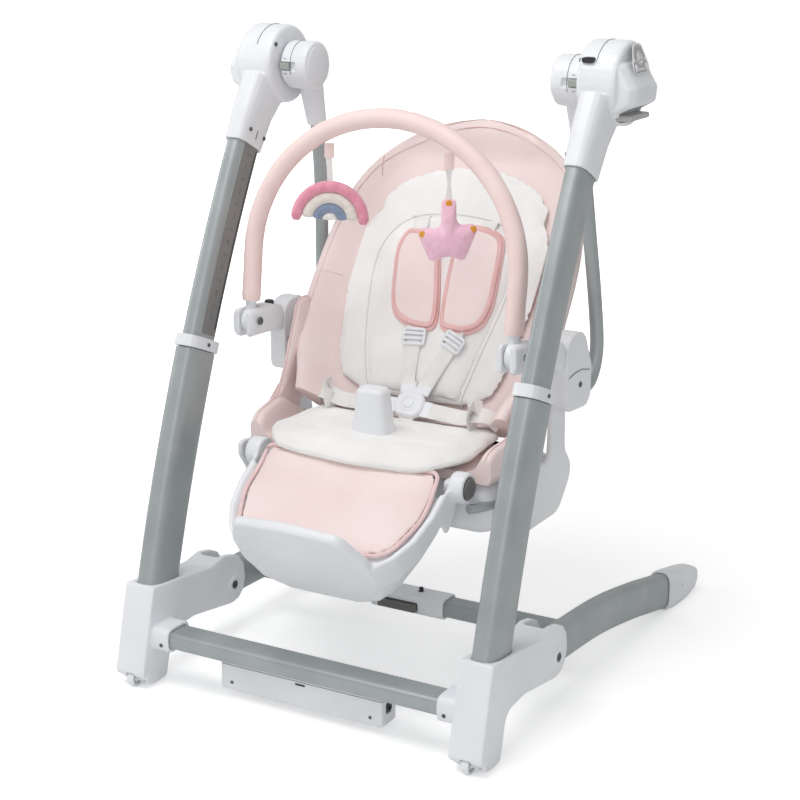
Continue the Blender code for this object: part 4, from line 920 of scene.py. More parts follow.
# %% Swing arms, pods and joints
ARM_PATH = [(0.2265, 0.4330, 0.862), (0.2280, 0.4400, 0.820), (0.2310, 0.4550, 0.740),
            (0.2355, 0.4660, 0.660), (0.2410, 0.4750, 0.580), (0.2450, 0.4815, 0.505),
            (0.2455, 0.4775, 0.468), (0.2455, 0.4600, 0.442), (0.2455, 0.4350, 0.4340),
            (0.2455, 0.4120, 0.4330)]
for side, word in SIDES:
    arm = sweep(f"swing_arm_tube_{word}", through([at(side * x, y, z) for x, y, z in ARM_PATH], 8),
                round_section(0.0105, 32), PAINTED_STEEL, "swing", "painted_tube")
    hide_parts(f"swing_arm_{word}")
    face = side * 0.2050
    cord_path(f"pod_seam_{word}", [[at(side * 0.2330, 0.4126, 0.894) + Vector(
        (0, math.cos(a) * 0.0371, math.sin(a) * 0.0371))
        for a in (math.radians(d) for d in range(-40, 201, 4))]],
        0.0004, SHADOW_ABS, "swing")
    disc(f"pod_cap_{word}", at(face, 0.4126, 0.894), (-side, 0, 0),
         ((0.0300, -0.0010), (0.0300, 0.0004), (0.0288, 0.0010), (0.0010, 0.0012)),
         WHITE_ABS, "swing")
    screws(f"pod_screw_{word}", [(at(side * 0.2260, 0.4180, 0.853), (-side, -0.4, 0), 0.0034)],
           DARK_SCREW, "swing")
    marks = []
    for z in (0.0115, -0.0115):
        spot = at(side * 0.2430, 0.4126 - 0.0353, 0.894 + z)
        marks.append([spot + Vector((-0.0022, 0, 0)), spot, spot + Vector((0.0022, 0, 0))])
    cord_path(f"lock_marks_{word}", marks, 0.0005, INK, "swing")
    seam_x = side * 0.2601 if side > 0 else side * 0.2309
    cord_path(f"joint_seam_{word}", [[at(seam_x, y, z) for y, z in
                                      ((0.352, 0.470), (0.372, 0.474), (0.398, 0.474),
                                       (0.424, 0.468))]], 0.0005, SHADOW_ABS, "swing")

# %% [markdown]
# ### Seat rails and the control box
# A short steel tube runs back from each footrest pivot under the seat. The control box under the
# front crossbar holds the board, with a slit for a memory card and the power socket at its end.

# %% Rails, box seam and slit
for side, word in SIDES:
    sweep(f"seat_rail_{word}", through([at(side * 0.1830, 0.1860, 0.3060),
                                        at(side * 0.1960, 0.215, 0.3040),
                                        at(side * 0.2080, 0.260, 0.3060),
                                        at(side * 0.2120, 0.310, 0.3120)], 8),
          round_section(0.0070, 24), PAINTED_STEEL, "swing", "painted_tube")
seam_ring = [at(p.x, p.y, 0.0535) for p in evenly(rounded(
    [(-0.1502, 0.0348, 0.003), (-0.1502, 0.0752, 0.003), (0.1282, 0.0752, 0.003),
     (0.1282, 0.0348, 0.003)], 5), 120)]
cord_path("control_box_seam", [seam_ring], 0.0004, SHADOW_ABS, "base",
          closed=True)
# the card slit is painted shade: a thin black oval on the box face for the dark inside the opening
bm = bmesh.new()
stretch_skin(bm, [oval(at(-0.0099, y, 0.0490), (1, 0, 0), (0, 0, 1), 0.0085, 0.0016, 6.0, 32)
                  for y in (0.0380, 0.0347)])
piece_of("card_slit_painted_shade", bm, BLACK_ABS, "base")
screws("control_box_screws", [(at(x, 0.0352, 0.026), (0, -1, 0), 0.0026) for x in (-0.130, 0.108)],
       DARK_SCREW, "base")


# %% [markdown]
# ## The backrest cover
# The child lies in a padded tub of pink leatherette: a hollow floor, and wings that roll over a
# foam edge. It is sewn from panels, so it has a hem seam inside its rim and short cross seams
# where the panels of the wings meet. We write the tub's front face as a function of its place, so
# that the cushions and the harness can later lie on it.

# %% The tub's shape
BACK_LEAN = math.radians(36.7)
BACK_OUT = Vector((0, -math.cos(BACK_LEAN), math.sin(BACK_LEAN)))
TUB_HALF = [(0.058, 0.184), (0.085, 0.191), (0.118, 0.204), (0.150, 0.2155), (0.180, 0.2195),
            (0.220, 0.2200), (0.290, 0.2200), (0.345, 0.2160), (0.400, 0.2060), (0.440, 0.1910),
            (0.475, 0.1670), (0.505, 0.1330), (0.525, 0.0980), (0.540, 0.0580), (0.548, 0.0200),
            (0.5495, 0.0060)]
TUB_FLOOR = [(0.058, -0.066), (0.118, -0.056), (0.150, -0.050), (0.220, -0.043),
             (0.290, -0.038), (0.400, -0.032), (0.475, -0.028), (0.550, -0.025)]
TUB_PADDING = 0.022


def on_back(x, up, proud):
    """A point of the backrest: across, up its lean, and out of its front edge."""
    return at(x, 0.260 + up * math.sin(BACK_LEAN) - proud * math.cos(BACK_LEAN),
              0.365 + up * math.cos(BACK_LEAN) + proud * math.sin(BACK_LEAN))


def tub_front(x, up):
    """How far the tub's front face stands out at a place."""
    rise = min(1.0, max(0.0, (up - 0.486) / 0.052))
    shallow = 1 - 0.92 * rise * rise * (3 - 2 * rise)
    half, floor_at = flow(TUB_HALF, up), flow(TUB_FLOOR, up) * shallow
    return flow([(0, floor_at - 0.002), (0.42, floor_at), (0.60, 0.90 * floor_at),
                 (0.76, 0.66 * floor_at), (0.90, -0.006), (0.97, -0.001), (1.0, -0.006)],
                min(1.0, abs(x) / half))


# %% Sew the tub
FRONT_STEPS = (0, 0.1, 0.2, 0.3, 0.4, 0.48, 0.55, 0.61, 0.67, 0.72, 0.77, 0.81, 0.85, 0.89, 0.93, 0.97)
rings = []
ups = [0.058 + (0.500 - 0.058) * i / 56 for i in range(57)]
ups += [0.500 + 0.0495 * math.sin(math.pi / 2 * i / 14) for i in range(1, 15)]
for up in ups:
    half, rear = flow(TUB_HALF, up), flow(TUB_FLOOR, up) - TUB_PADDING
    right = []
    for share in FRONT_STEPS:
        crease = 0.0016 * noise.noise(Vector((share * half * 22, up * 16, 2.0)))
        right.append((share * half, tub_front(share * half, up) + crease * min(1, share * 4)))
    right += [(0.992 * half, -0.0045), (half, -0.0110), (0.993 * half, -0.0190),
              (0.965 * half, rear + 0.0170), (0.92 * half, rear + 0.0080), (0.84 * half, rear + 0.002),
              (0.72 * half, rear), (0.36 * half, rear - 0.001), (0, rear - 0.002)]
    left = [(-x, v) for x, v in reversed(right) if x > 0]
    rings.append([on_back(x, up, v) for x, v in right + left])
bm = bmesh.new()
stretch_skin(bm, rings)
tub = piece_of("backrest_cover", bm, PINK_LEATHERETTE, "backrest", 60)
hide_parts("backrest_pad")
print("backrest cover:", len(tub.data.polygons), "faces")

# %% Hem and panel seams
rim_line = [Vector((flow(TUB_HALF, up), up)) for up in ups if 0.150 < up < 0.5494]
rim_line += [Vector((-p.x, p.y)) for p in reversed(rim_line)]
hem = []
for i, here in enumerate(rim_line):
    run = (rim_line[min(i + 2, len(rim_line) - 1)] - rim_line[max(i - 2, 0)]).normalized()
    spot = here + Vector((-run.y, run.x)) * 0.0135
    hem.append(on_back(spot.x, spot.y, tub_front(spot.x, spot.y) + 0.0002))
seams = [hem]
for side in (1, -1):
    for low, high, inner, outer in ((0.262, 0.258, 0.80, 0.955), (0.440, 0.470, 0.84, 0.95)):
        seam = []
        for i in range(9):
            up = low + (high - low) * i / 8
            x = side * flow(TUB_HALF, up) * (inner + (outer - inner) * i / 8)
            seam.append(on_back(x, up, tub_front(x, up) + 0.0002))
        seams.append(seam)
# the seam cords are painted shade, a darker pink line along each seam
cord_path("backrest_seams", seams, 0.00075, PINK_SEAM_SHADE, "backrest")

# %% [markdown]
# ## The cushions
# A loose newborn cushion lies in the tub: a cream knit cover over soft filling, with an inner pad
# that hugs the child. Each starts as a pillow over its outline and is then filled with air.

# %% Back cushion
CUSHION_HALF = [(0.078, 0.098), (0.100, 0.132), (0.130, 0.149), (0.188, 0.160), (0.236, 0.167),
                (0.300, 0.170), (0.345, 0.167), (0.372, 0.160), (0.386, 0.149), (0.396, 0.151),
                (0.410, 0.147), (0.440, 0.124), (0.462, 0.086), (0.474, 0.045), (0.478, 0.010)]


def outline_of(half_keys, count):
    low, high = half_keys[0][0], half_keys[-1][0]
    places = [low + (high - low) * (1 - math.cos(math.pi * i / 60)) / 2 for i in range(61)]
    right = [Vector((flow(half_keys, p), p)) for p in places]
    return evenly(right + [Vector((-p.x, p.y)) for p in reversed(right)], count)


cushion_bm = pillow_mesh(outline_of(CUSHION_HALF, 150),
                         lambda x, up, h: on_back(x, up, tub_front(x, up) + 0.0060 + h),
                         0.0165, 0.12, 14, Vector((0, 0.285)))
back_cushion = inflate(piece_of("back_cushion_cover", cushion_bm, CREAM_KNIT, None), 0.005, 0.004)
smooth_once(back_cushion)
smooth_once(back_cushion)
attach(back_cushion, "backrest")
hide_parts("back_cushion")


def resting(x, up, surfaces, lift=0.0):
    """The point where something laid on the backrest at a place touches what is under it."""
    start = on_back(x, up, 0.150)
    best = None
    for surface in surfaces:
        hit, spot, _, _ = surface.ray_cast(start, -BACK_OUT)
        if hit and (best is None or (spot - start).length < (best - start).length):
            best = spot
    return (best or on_back(x, up, tub_front(x, up))) + BACK_OUT * lift


print("back cushion: middle stands", round((resting(0, 0.25, [back_cushion])
                                            - on_back(0, 0.25, tub_front(0, 0.25))).length, 4))

# %% [markdown]
# ### The inner pad
# The inner pad is sewn to the cushion along its edge, and two slots let the shoulder straps out. A
# ray cast finds the cushion's surface under each point, so that pad, seam and slots lie on it.

# %% Inner pad
INSERT_HALF = [(0.084, 0.079), (0.120, 0.090), (0.1575, 0.0995), (0.226, 0.1135), (0.284, 0.1203),
               (0.320, 0.1170), (0.348, 0.1040), (0.366, 0.0840), (0.377, 0.0560), (0.381, 0.0200),
               (0.382, 0.0050)]
insert_outline = outline_of(INSERT_HALF, 130)
insert_bm = pillow_mesh(insert_outline,
                        lambda x, up, h: resting(x, up, [back_cushion], h - 0.0012),
                        0.0080, 0.25, 10, Vector((0, 0.235)), 2.8)
insert = inflate(piece_of("newborn_inner_pad", insert_bm, CREAM_KNIT, None), 0.004, 0.0025)
smooth_once(insert)
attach(insert, "backrest")
edge = [resting(p.x * 1.006, 0.235 + (p.y - 0.235) * 1.006, [back_cushion], 0.0004)
        for p in insert_outline]
# the seam cord is painted shade along the inner pad's edge
cord_path("inner_pad_seam", [edge], 0.0010, CREAM_SEAM_SHADE, "backrest", closed=True)
# the slot cords are painted shade: darker lines where the straps pass through the pad
slots = []
for x in (-0.063, 0.063):
    slots.append([resting(x + dx, 0.3735 + 0.0008 * math.sin(dx * 120), [back_cushion, insert], 0.0006)
                  for dx in (-0.017, -0.010, 0, 0.010, 0.017)])
cord_path("harness_slots", slots, 0.0016, CREAM_SEAM_SHADE, "backrest")

# %% [markdown]
# ### The seat
# The seat cover is a shallow leatherette tray with a foam roll at each side, drawn as rings from
# front to back. The loose cushion on it is a plump pillow that curls over the front edge.

# %% Seat cover
SEAT_HALF = [(0.2085, 0.206), (0.240, 0.210), (0.290, 0.214), (0.350, 0.214)]
SEAT_WALL = [(0.2085, 0.376), (0.222, 0.386), (0.250, 0.391), (0.290, 0.394), (0.325, 0.374),
             (0.350, 0.359)]
FLOOR = 0.3375
rings = []
for i in range(29):
    y = 0.2085 + (0.350 - 0.2085) * i / 28
    half, wall = flow(SEAT_HALF, y), flow(SEAT_WALL, y)
    right = [(0, FLOOR + 0.0145), (0.06, FLOOR + 0.0145), (0.11, FLOOR + 0.0145),
             (half - 0.060, FLOOR + 0.0145), (half - 0.042, FLOOR + 0.0150),
             (half - 0.027, FLOOR + 0.0210), (half - 0.0185, wall - 0.006), (half - 0.012, wall - 0.001),
             (half - 0.005, wall - 0.001), (half, wall - 0.006), (half, FLOOR + 0.020),
             (half, FLOOR + 0.008), (half - 0.004, FLOOR + 0.002), (half - 0.012, FLOOR),
             (0.12, FLOOR), (0.06, FLOOR), (0, FLOOR)]
    ring = [Vector((x, z, 0)) for x, z in right]
    ring += [Vector((-x, z, 0)) for x, z in reversed(right) if x > 0]
    rings.append([at(p.x, y, p.y) for p in through(ring, 3, closed=True)])
bm = bmesh.new()
stretch_skin(bm, rings)
seat_cover = piece_of("seat_cover", bm, PINK_LEATHERETTE, "swing", 50)
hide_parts("seat_pad")
edges = []
for share, side in ((0.0, 1), (0.0, -1)):
    edges.append([at(side * (flow(SEAT_HALF, 0.2085 + t) - 0.009), 0.2085 + t,
                     flow(SEAT_WALL, 0.2085 + t) + 0.0002) for t in
                  (k * 0.0070 for k in range(20))])
# these cords are painted shade along the seat cover's seams
cord_path("seat_cover_seams", edges, 0.0007, PINK_SEAM_SHADE, "swing")

# %% [markdown]
# ### The side gussets
# At the hip, a padded wedge of leatherette closes the gap between the wing of the backrest and the
# wall of the seat. It is sewn to both, so on the swing its lower end stays with the seat while its
# upper end follows the backrest. We grow it as a pillow; here it rides on neither body.

# %% Side gussets
GUSSET = evenly(rounded([(0.258, 0.349, 0.008), (0.252, 0.376, 0.014), (0.290, 0.393, 0.040),
                         (0.315, 0.440, 0.080), (0.338, 0.497, 0.080), (0.352, 0.534, 0.012),
                         (0.386, 0.540, 0.014), (0.388, 0.450, 0.040), (0.374, 0.392, 0.030),
                         (0.335, 0.349, 0.015)], 8), 120)
for side, word in SIDES:
    gusset_bm = pillow_mesh(GUSSET, lambda y, z, h: at(side * (0.2100 + h), y, z), 0.0075, 1.0, 9,
                            Vector((0.335, 0.430)), 3.0)
    gusset = piece_of(f"side_gusset_{word}", gusset_bm, PINK_LEATHERETTE, None, 60)
    piped = cord_path(f"gusset_piping_{word}", [[at(side * 0.2100, p.x, p.y) for p in GUSSET]],
                      0.0018, PALE_PIPING, None, closed=True)
    for soft in (gusset, piped):
        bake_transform(soft)

# %% Seat cushion
SEAT_OUTLINE = evenly(rounded([(-0.1620, 0.338, 0.012), (0.1620, 0.338, 0.012),
                               (0.1740, 0.205, 0.060), (0.130, 0.154, 0.040),
                               (0.0, 0.1440, 0.400), (-0.130, 0.154, 0.040),
                               (-0.1740, 0.205, 0.060)], 10), 150)


def seat_top(x, y):
    drop = 0.0050 * max(0.0, (0.205 - y) / 0.045) ** 2
    return 0.3655 - drop + 0.0060 * (abs(x) / 0.165) ** 4


seat_bm = pillow_mesh(SEAT_OUTLINE, lambda x, y, h: at(x, y, seat_top(x, y) + h),
                      0.0150, 0.80, 14, Vector((0, 0.246)), 3.0)
seat_cushion = inflate(piece_of("seat_cushion_cover", seat_bm, CREAM_KNIT, None), 0.0045, 0.004)
smooth_once(seat_cushion)
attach(seat_cushion, "swing")
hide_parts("seat_cushion")
front = [seat_cushion.closest_point_on_mesh(at(p.x, p.y, seat_top(p.x, p.y) - 0.0035))[1]
         for p in SEAT_OUTLINE]
# the seam cord is painted shade round the seat cushion's edge
cord_path("seat_cushion_seam", [front], 0.0011, CREAM_SEAM_SHADE, "swing", closed=True)

# %% [markdown]
# ## The footrest pad
# The calf pad is a thin leatherette mat, bound all round with a rose piping: a cord wrapped in
# bias tape and caught in the seam.

# %% Footrest pad and piping
SLOPE = math.radians(34.0)


def on_rest(x, down, above):
    return at(x, 0.183 - down * math.cos(SLOPE) - above * math.sin(SLOPE),
              0.338 - down * math.sin(SLOPE) + above * math.cos(SLOPE))


REST_OUTLINE = evenly(rounded([(-0.1440, 0.0020, 0.010), (-0.1480, 0.080, 0.090),
                               (-0.1240, 0.1500, 0.042), (0.0, 0.1580, 0.500),
                               (0.1240, 0.1500, 0.042), (0.1480, 0.080, 0.090),
                               (0.1440, 0.0020, 0.010)], 10), 160)


def mat_rise(down):
    """The mat curls up at its top, where it tucks under the seat cushion."""
    return 0.0130 + 0.0120 * (max(0.0, 0.055 - down) / 0.055) ** 1.6


rest_bm = pillow_mesh(REST_OUTLINE,
                      lambda x, down, h: on_rest(x, down, mat_rise(down) + h), 0.0058, 0.75, 12,
                      Vector((0, 0.080)), 3.0)
rest_pad = inflate(piece_of("footrest_mat", rest_bm, PINK_LEATHERETTE, None), 0.0040, 0.0015)
smooth_once(rest_pad)
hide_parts("footrest_pad")
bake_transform(rest_pad)
piping = cord_path("footrest_piping", [[on_rest(p.x * 1.006, 0.080 + (p.y - 0.080) * 1.012,
                                                mat_rise(p.y) + 0.0012) for p in REST_OUTLINE]],
                   0.0032, PALE_PIPING, None, closed=True)
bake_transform(piping)

# %% [markdown]
# ## The harness
# A five-point harness: two shoulder straps with bound pads, two waist straps, and a crotch strap
# meet in a round-button buckle. The straps are 25 mm polyester webbing. The shoulder straps are
# sewn to the backrest but end at the buckle on the seat, so on the swing they bend between the
# two; here each is one fixed piece that rides on neither body.

# %% Shoulder pads
PAD_OUTLINES = {
    "left": [(-0.0713, 0.3374), (-0.050, 0.3405), (-0.0309, 0.3346), (-0.0150, 0.3180),
             (-0.0020, 0.2760), (0.0088, 0.2368), (0.0140, 0.2020), (0.0061, 0.1921),
             (-0.0130, 0.1930), (-0.0304, 0.1959), (-0.0525, 0.2085), (-0.0640, 0.2340),
             (-0.0720, 0.2700), (-0.0783, 0.3101)],
    "right": [(0.0211, 0.3514), (0.0442, 0.3556), (0.0765, 0.3490), (0.0900, 0.3330),
              (0.0964, 0.2890), (0.0988, 0.2385), (0.0895, 0.2057), (0.0659, 0.1932),
              (0.0368, 0.1959), (0.0297, 0.2078), (0.0256, 0.2400), (0.0216, 0.2800),
              (0.0190, 0.3234)],
}
laid_on = [back_cushion, insert]
for word, corners in PAD_OUTLINES.items():
    outline = evenly(through([(x, y, 0) for x, y in corners], 6, closed=True), 120)
    outline = [Vector((p.x, p.y)) for p in outline]
    middle = sum(outline, Vector((0, 0))) / len(outline)
    pad_bm = pillow_mesh(outline, lambda x, up, h: resting(x, up, laid_on, 0.0052 + h),
                         0.0046, 0.85, 10, middle, 3.2)
    pad = piece_of(f"shoulder_pad_{word}", pad_bm, PINK_LEATHERETTE, "backrest", 60)
    wide = [(0.0040, 0.0), (0.0036, 0.0022), (0.0018, 0.0036), (-0.0018, 0.0036), (-0.0036, 0.0022),
            (-0.0040, 0.0), (-0.0030, -0.0022), (0, -0.0030), (0.0030, -0.0022)]
    for number, (grow, lift) in enumerate(((1.0, 0.0056), (1.06, 0.0010))):
        line = [resting(middle.x + (p.x - middle.x) * grow, middle.y + (p.y - middle.y) * grow,
                        laid_on, lift) for p in outline]
        sweep(f"pad_binding_{word}_{number + 1}", line, wide, PINK_BINDING, "backrest",
              "leatherette", closed=True, faces=BACK_OUT)

# %% Webbing, adjusters and tongues
BUCKLE_LEAN = math.radians(42)


def on_buckle(x, along, proud):
    return at(0.010 + x, 0.322 + along * math.sin(BUCKLE_LEAN) - proud * math.cos(BUCKLE_LEAN),
              0.402 + along * math.cos(BUCKLE_LEAN) + proud * math.sin(BUCKLE_LEAN))


BUCKLE_OUT = on_buckle(0, 0, 1) - on_buckle(0, 0, 0)
STRAP = [(0.0125, 0.0004), (0.0120, 0.0008), (-0.0120, 0.0008), (-0.0125, 0.0004),
         (-0.0125, -0.0004), (-0.0120, -0.0008), (0.0120, -0.0008), (0.0125, -0.0004)]
TONGUE = [(0.0128, 0.0010), (0.0118, 0.0020), (-0.0118, 0.0020), (-0.0128, 0.0010),
          (-0.0128, -0.0010), (-0.0118, -0.0020), (0.0118, -0.0020), (0.0128, -0.0010)]
LOOSE = 0.0035


def adjuster(name, centre, up_line, out, body):
    """A ladder-lock slider: a rounded frame with a bar across."""
    across = up_line.cross(out).normalized()
    frame_line = [centre + across * p.x + up_line * p.y for p in evenly(rounded(
        [(-0.0175, -0.0115, 0.003), (-0.0175, 0.0115, 0.003), (0.0175, 0.0115, 0.003),
         (0.0175, -0.0115, 0.003)], 5), 72)]
    bm = bmesh.new()
    shape = oval_section(0.0026, 0.0022, 3.0, 16)
    rings_made = rings_along(frame_line, shape, closed=True, faces=out)
    stretch_skin(bm, rings_made + [rings_made[0]], ends=False)
    bmesh.ops.remove_doubles(bm, verts=bm.verts, dist=1e-7)
    for height in (-0.0030, 0.0045):
        stretch_skin(bm, rings_along([centre + across * a + up_line * height + out * 0.0008
                                      for a in (-0.0165, 0, 0.0165)], shape, faces=out))
    return piece_of(name, bm, WHITE_ABS, body)


for word, top, low, end in (("left", (-0.060, 0.372), (-0.0115, 0.172), -0.0115),
                            ("right", (0.060, 0.375), (0.0565, 0.171), 0.0115)):
    shoulder = [Vector(top).lerp(Vector(low), t) for t in (k / 10 for k in range(11))]
    line = [resting(p.x, p.y, laid_on, LOOSE) for p in shoulder]
    line += [on_buckle(end * 1.7, 0.046, 0.004), on_buckle(end * 1.2, 0.030, 0.001),
             on_buckle(end, 0.019, 0.0)]
    path = through(line, 4)
    strap_bm = bmesh.new()
    stretch_skin(strap_bm, rings_along(path, STRAP, faces=BACK_OUT))
    strap = piece_of(f"shoulder_strap_{word}", strap_bm, WEBBING, None)
    resting(*low, laid_on)
    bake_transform(strap)
    centre = resting(*low, laid_on, LOOSE + 0.0015)
    slope = (path[40] - path[46]).normalized()
    adjuster(f"strap_adjuster_{word}", centre, slope, BACK_OUT, "backrest")
    sweep(f"shoulder_tongue_{word}", [on_buckle(end * k, a, 0.0) for k, a in
                                      ((1.25, 0.036), (1.1, 0.028), (1.0, 0.020))],
          TONGUE, WHITE_ABS, "swing", "white_plastic", faces=BUCKLE_OUT)
for side, word in SIDES:
    reach = [on_buckle(side * 0.0240, -0.004, 0.0), on_buckle(side * 0.036, -0.005, 0.0005),
             at(0.010 + side * 0.070, 0.322, 0.3955), at(side * 0.105, 0.318, 0.3960),
             at(side * 0.128, 0.309, 0.4060), at(side * 0.146, 0.318, 0.4040),
             at(side * 0.156, 0.334, 0.3880)]
    sweep(f"waist_strap_{word}", through(reach, 6), STRAP, WEBBING, "swing", "white_plastic",
          faces=Vector((0, -0.72, 0.69)))
    sweep(f"waist_tongue_{word}", [on_buckle(side * x, -0.004, 0.0) for x in (0.022, 0.030, 0.037)],
          TONGUE, WHITE_ABS, "swing", "white_plastic", faces=BUCKLE_OUT)
    loop = [at(side * x, y, z) for x, y, z in ((0.124, 0.322, 0.384), (0.122, 0.306, 0.392),
                                               (0.122, 0.300, 0.408), (0.128, 0.306, 0.418),
                                               (0.134, 0.320, 0.414))]
    sweep(f"waist_loop_{word}", through(loop, 5), STRAP, WEBBING, "swing", "white_plastic",
          faces=Vector((side, 0.2, 0.1)))
crotch = [on_buckle(0, -0.016, -0.001), on_buckle(0, -0.026, -0.002), at(0.008, 0.292, 0.3840),
          at(0.006, 0.272, 0.3790), at(0.004, 0.250, 0.3765)]
sweep("crotch_strap", through(crotch, 6), STRAP, WEBBING, "swing", "white_plastic",
      faces=Vector((0, -0.5, 0.86)))
disc("buckle_ring", on_buckle(0, 0, 0.0066), BUCKLE_OUT,
     ((0.0135, -0.001), (0.0135, 0.0008), (0.0126, 0.0014), (0.0106, 0.0014), (0.0101, 0.0004)),
     WHITE_ABS, "swing")
print("harness: 5 straps,", 25, "mm wide")

# %% [markdown]
# ## The toy bar
# The bar is a foam-covered tube in a leatherette sleeve, closed by one seam on its inner side. The
# sleeve puckers a little where it bends, and white knuckles pin it to the seat.

# %% Sleeve and knuckles
PIVOT = at(0, 0.2385, 0.525)
BAR_LEAN = Vector((0, math.sin(math.radians(7)), math.cos(math.radians(7))))
BAR_X, ARCH_BASE, ARCH_RISE, SLEEVE = 0.2227, 0.1085, 0.2096, 0.0140


def on_arch(angle, inward=0.0):
    return (PIVOT + Vector(((BAR_X - inward) * math.cos(angle), 0, 0))
            + BAR_LEAN * (ARCH_BASE + (ARCH_RISE - inward) * math.sin(angle)))


def whole_arch(inward=0.0, start=0.030):
    legs = [start + (ARCH_BASE - start) * i / 8 for i in range(8)]
    points = [PIVOT + Vector((BAR_X - inward, 0, 0)) + BAR_LEAN * s for s in legs]
    points += [on_arch(math.pi * i / 72, inward) for i in range(73)]
    return points + [PIVOT + Vector((inward - BAR_X, 0, 0)) + BAR_LEAN * s for s in reversed(legs)]


def sleeve_section(share):
    """The sleeve's round section: a hem at both ends, and faint puckers between."""
    hem_swell = 0.0005 * (min(share, 1 - share) < 0.012)
    radius = SLEEVE + hem_swell - 0.0014 * (min(share, 1 - share) < 0.002)
    return [(r * math.cos(a), r * math.sin(a)) for a, r in
            ((2 * math.pi * i / 40, radius + 0.0005 * noise.noise(
                Vector((share * 46, math.cos(2 * math.pi * i / 40) * 1.4,
                        math.sin(2 * math.pi * i / 40) * 1.4)))) for i in range(40))]


SLEEVE_LEATHERETTE = leatherette("rose_sleeve_leatherette", "#F5DEDA", "#F0D6D2", 0.48)
sleeve = sweep("toy_bar_sleeve", whole_arch(), sleeve_section, SLEEVE_LEATHERETTE, "toy_bar",
               "leatherette", level=(0, 1, 0))
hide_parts("toy_bar")
# the seam cord is painted shade along the sleeve's inner seam
cord_path("sleeve_seam", [whole_arch(0.0141, 0.033)], 0.0006, PINK_SEAM_SHADE, "toy_bar")
for side, word in SIDES:
    hinge = PIVOT + Vector((side * BAR_X, 0, 0))
    disc(f"bar_neck_{word}", hinge + BAR_LEAN * 0.012, BAR_LEAN,
         ((0.0078, -0.004), (0.0078, 0.0150), (0.0098, 0.0165), (0.0098, 0.0215), (0.0070, 0.0225)),
         WHITE_ABS, "toy_bar")
    disc(f"bar_knuckle_{word}", hinge, (side, 0, 0),
         ((0.0165, -0.0055), (0.0181, -0.0045), (0.0185, -0.0030), (0.0185, 0.0030),
          (0.0181, 0.0045), (0.0165, 0.0055)), WHITE_ABS, "toy_bar", 64)
    screws(f"knuckle_screw_{word}", [(hinge + Vector((0.0195, 0, 0)) if side > 0 else
                                      hinge + Vector((0.0190, 0, 0)), (1, 0, 0), 0.0060)],
           DARK_SCREW, "swing", hexagon)

# %% [markdown]
# ## The toys
# Two small stuffed toys hang from tabs on the bar: a rainbow of plush arcs, and a three-pointed
# crown with a felt dot on each point. Both turn a little on their ribbons.

# %% Rainbow
TOY_TURN = math.radians(28)
toy_across = Vector((math.cos(TOY_TURN), math.sin(TOY_TURN), 0))
toy_front = Vector((math.sin(TOY_TURN), -math.cos(TOY_TURN), 0))
up = Vector((0, 0, 1))
HANG = {"rainbow": Vector((-0.100, -0.11545, 0.79829)), "crown": Vector((0.100, -0.11545, 0.79829))}
RIBBON = [(0.0042, 0.0003), (-0.0042, 0.0003), (-0.0042, -0.0003), (0.0042, -0.0003)]
TAB = [(0.0072, 0.0010), (0.0066, 0.0013), (-0.0066, 0.0013), (-0.0072, 0.0010),
       (-0.0072, -0.0010), (0.0072, -0.0010)]


def on_toy(toy, a, b, h=0.0):
    return HANG[toy] + toy_across * a + up * b + toy_front * h


ARC_CENTRE = (-0.0005, -0.1140)
TILT = math.radians(-4)
arcs = [("rose", 0.0420, 0.0580, ROSE_PLUSH), ("cream", 0.0250, 0.0425, CREAM_PLUSH),
        ("blue", 0.0115, 0.0255, BLUE_PLUSH), ("white", 0.0, 0.0120, PALE_PLUSH)]
for number, (word, inner, outer, finish_used) in enumerate(arcs):
    middle, half = (inner + outer) / 2, (outer - inner) / 2
    foot = 0.0030 if word == "rose" else 0.0
    line = [(middle, -foot)] if foot else []
    line += [(middle * math.cos(a), middle * math.sin(a)) for a in
             (math.pi * (0.02 + 0.96 * i / 40) for i in range(41))]
    line += [(-middle, -foot)] if foot else []
    turned = [(c * math.cos(TILT) - s * math.sin(TILT), c * math.sin(TILT) + s * math.cos(TILT))
              for c, s in line]
    thick = (0.0098, 0.0090, 0.0084, 0.0076)[number]

    def puffy(share, half=half, thick=thick):
        end = min(1.0, 0.55 + 14 * min(share, 1 - share))
        return oval_section((half + 0.0002) * min(1.0, end + 0.1), thick * end, 2.4, 28)

    band = sweep(f"rainbow_{word}_band", [on_toy("rainbow", ARC_CENTRE[0] + c, ARC_CENTRE[1] + s)
                                          for c, s in turned], puffy, finish_used, "rainbow",
                 "rainbow_plush", faces=toy_front)
    if number == 0:
        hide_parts("rainbow_toy")
sweep("rainbow_tab", [on_toy("rainbow", 0, -b) for b in (0.0, 0.010, 0.0215)], TAB,
      SLEEVE_LEATHERETTE, "rainbow", "leatherette", faces=toy_front)
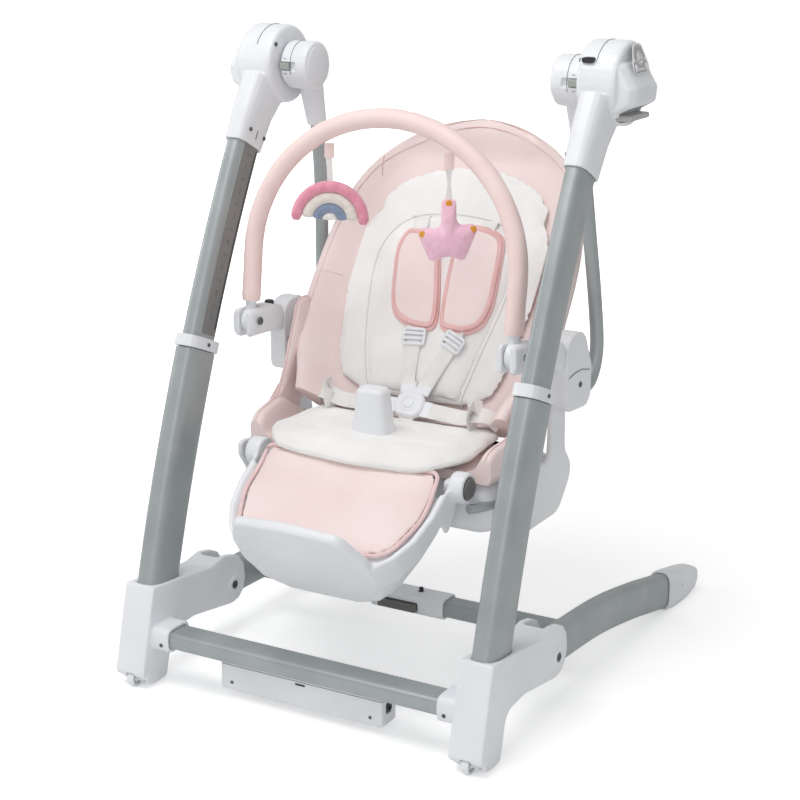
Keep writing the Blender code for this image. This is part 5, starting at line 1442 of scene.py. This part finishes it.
sweep("rainbow_ribbon", [on_toy("rainbow", 0.0010 * b, -0.018 - 0.0400 * b) for b in (0, 0.5, 1)],
      RIBBON, WEBBING, "rainbow", "rainbow_plush", faces=toy_front)

# %% Crown
CROWN = [(-0.0105, -0.0640, 0.0065), (0.0105, -0.0640, 0.0065), (0.0140, -0.1020, 0.009),
         (0.0370, -0.1010, 0.006), (0.0435, -0.1100, 0.006), (0.0235, -0.1575, 0.008),
         (0.0010, -0.1500, 0.030), (-0.0265, -0.1590, 0.008), (-0.0465, -0.1190, 0.007),
         (-0.0410, -0.1085, 0.005), (-0.0140, -0.1070, 0.009)]
crown_outline = evenly(rounded(CROWN, 8), 140)
crown_bm = pillow_mesh(crown_outline, lambda a, b, h: on_toy("crown", a, b, h), 0.0115, 1.0, 12,
                       Vector((-0.001, -0.128)), 2.0)
crown = inflate(piece_of("crown_plush", crown_bm, CROWN_PLUSH, None), 0.0024, 0.0020)
smooth_once(crown)
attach(crown, "crown")
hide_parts("crown_toy")
for number, (a, b) in enumerate(((0.0, -0.0715), (0.0350, -0.1085), (-0.0375, -0.1160))):
    hit, spot, _, _ = crown.ray_cast(on_toy("crown", a, b, 0.05), -toy_front)
    base = spot if hit else on_toy("crown", a, b, 0.004)
    disc(f"crown_dot_{number + 1}", base, toy_front,
         ((0.0050, -0.0014), (0.0050, 0.0004), (0.0042, 0.0012), (0.0020, 0.0015)), AMBER_FELT,
         "crown", 32)
sweep("crown_tab", [on_toy("crown", 0, -b) for b in (0.0, 0.012, 0.0240)], TAB,
      SLEEVE_LEATHERETTE, "crown", "leatherette", faces=toy_front)
for number, slant in enumerate((0.0030, -0.0030)):
    sweep(f"crown_ribbon_{number + 1}",
          [on_toy("crown", slant * (1 - 2 * t), -0.020 - 0.0470 * t, 0.0006 - 0.0012 * number)
           for t in (0, 0.5, 1)], [(a * 0.55, b) for a, b in RIBBON], WEBBING, "crown",
          "crown_plush", faces=toy_front)
print("toys:", [round(v, 3) for v in crown.dimensions])
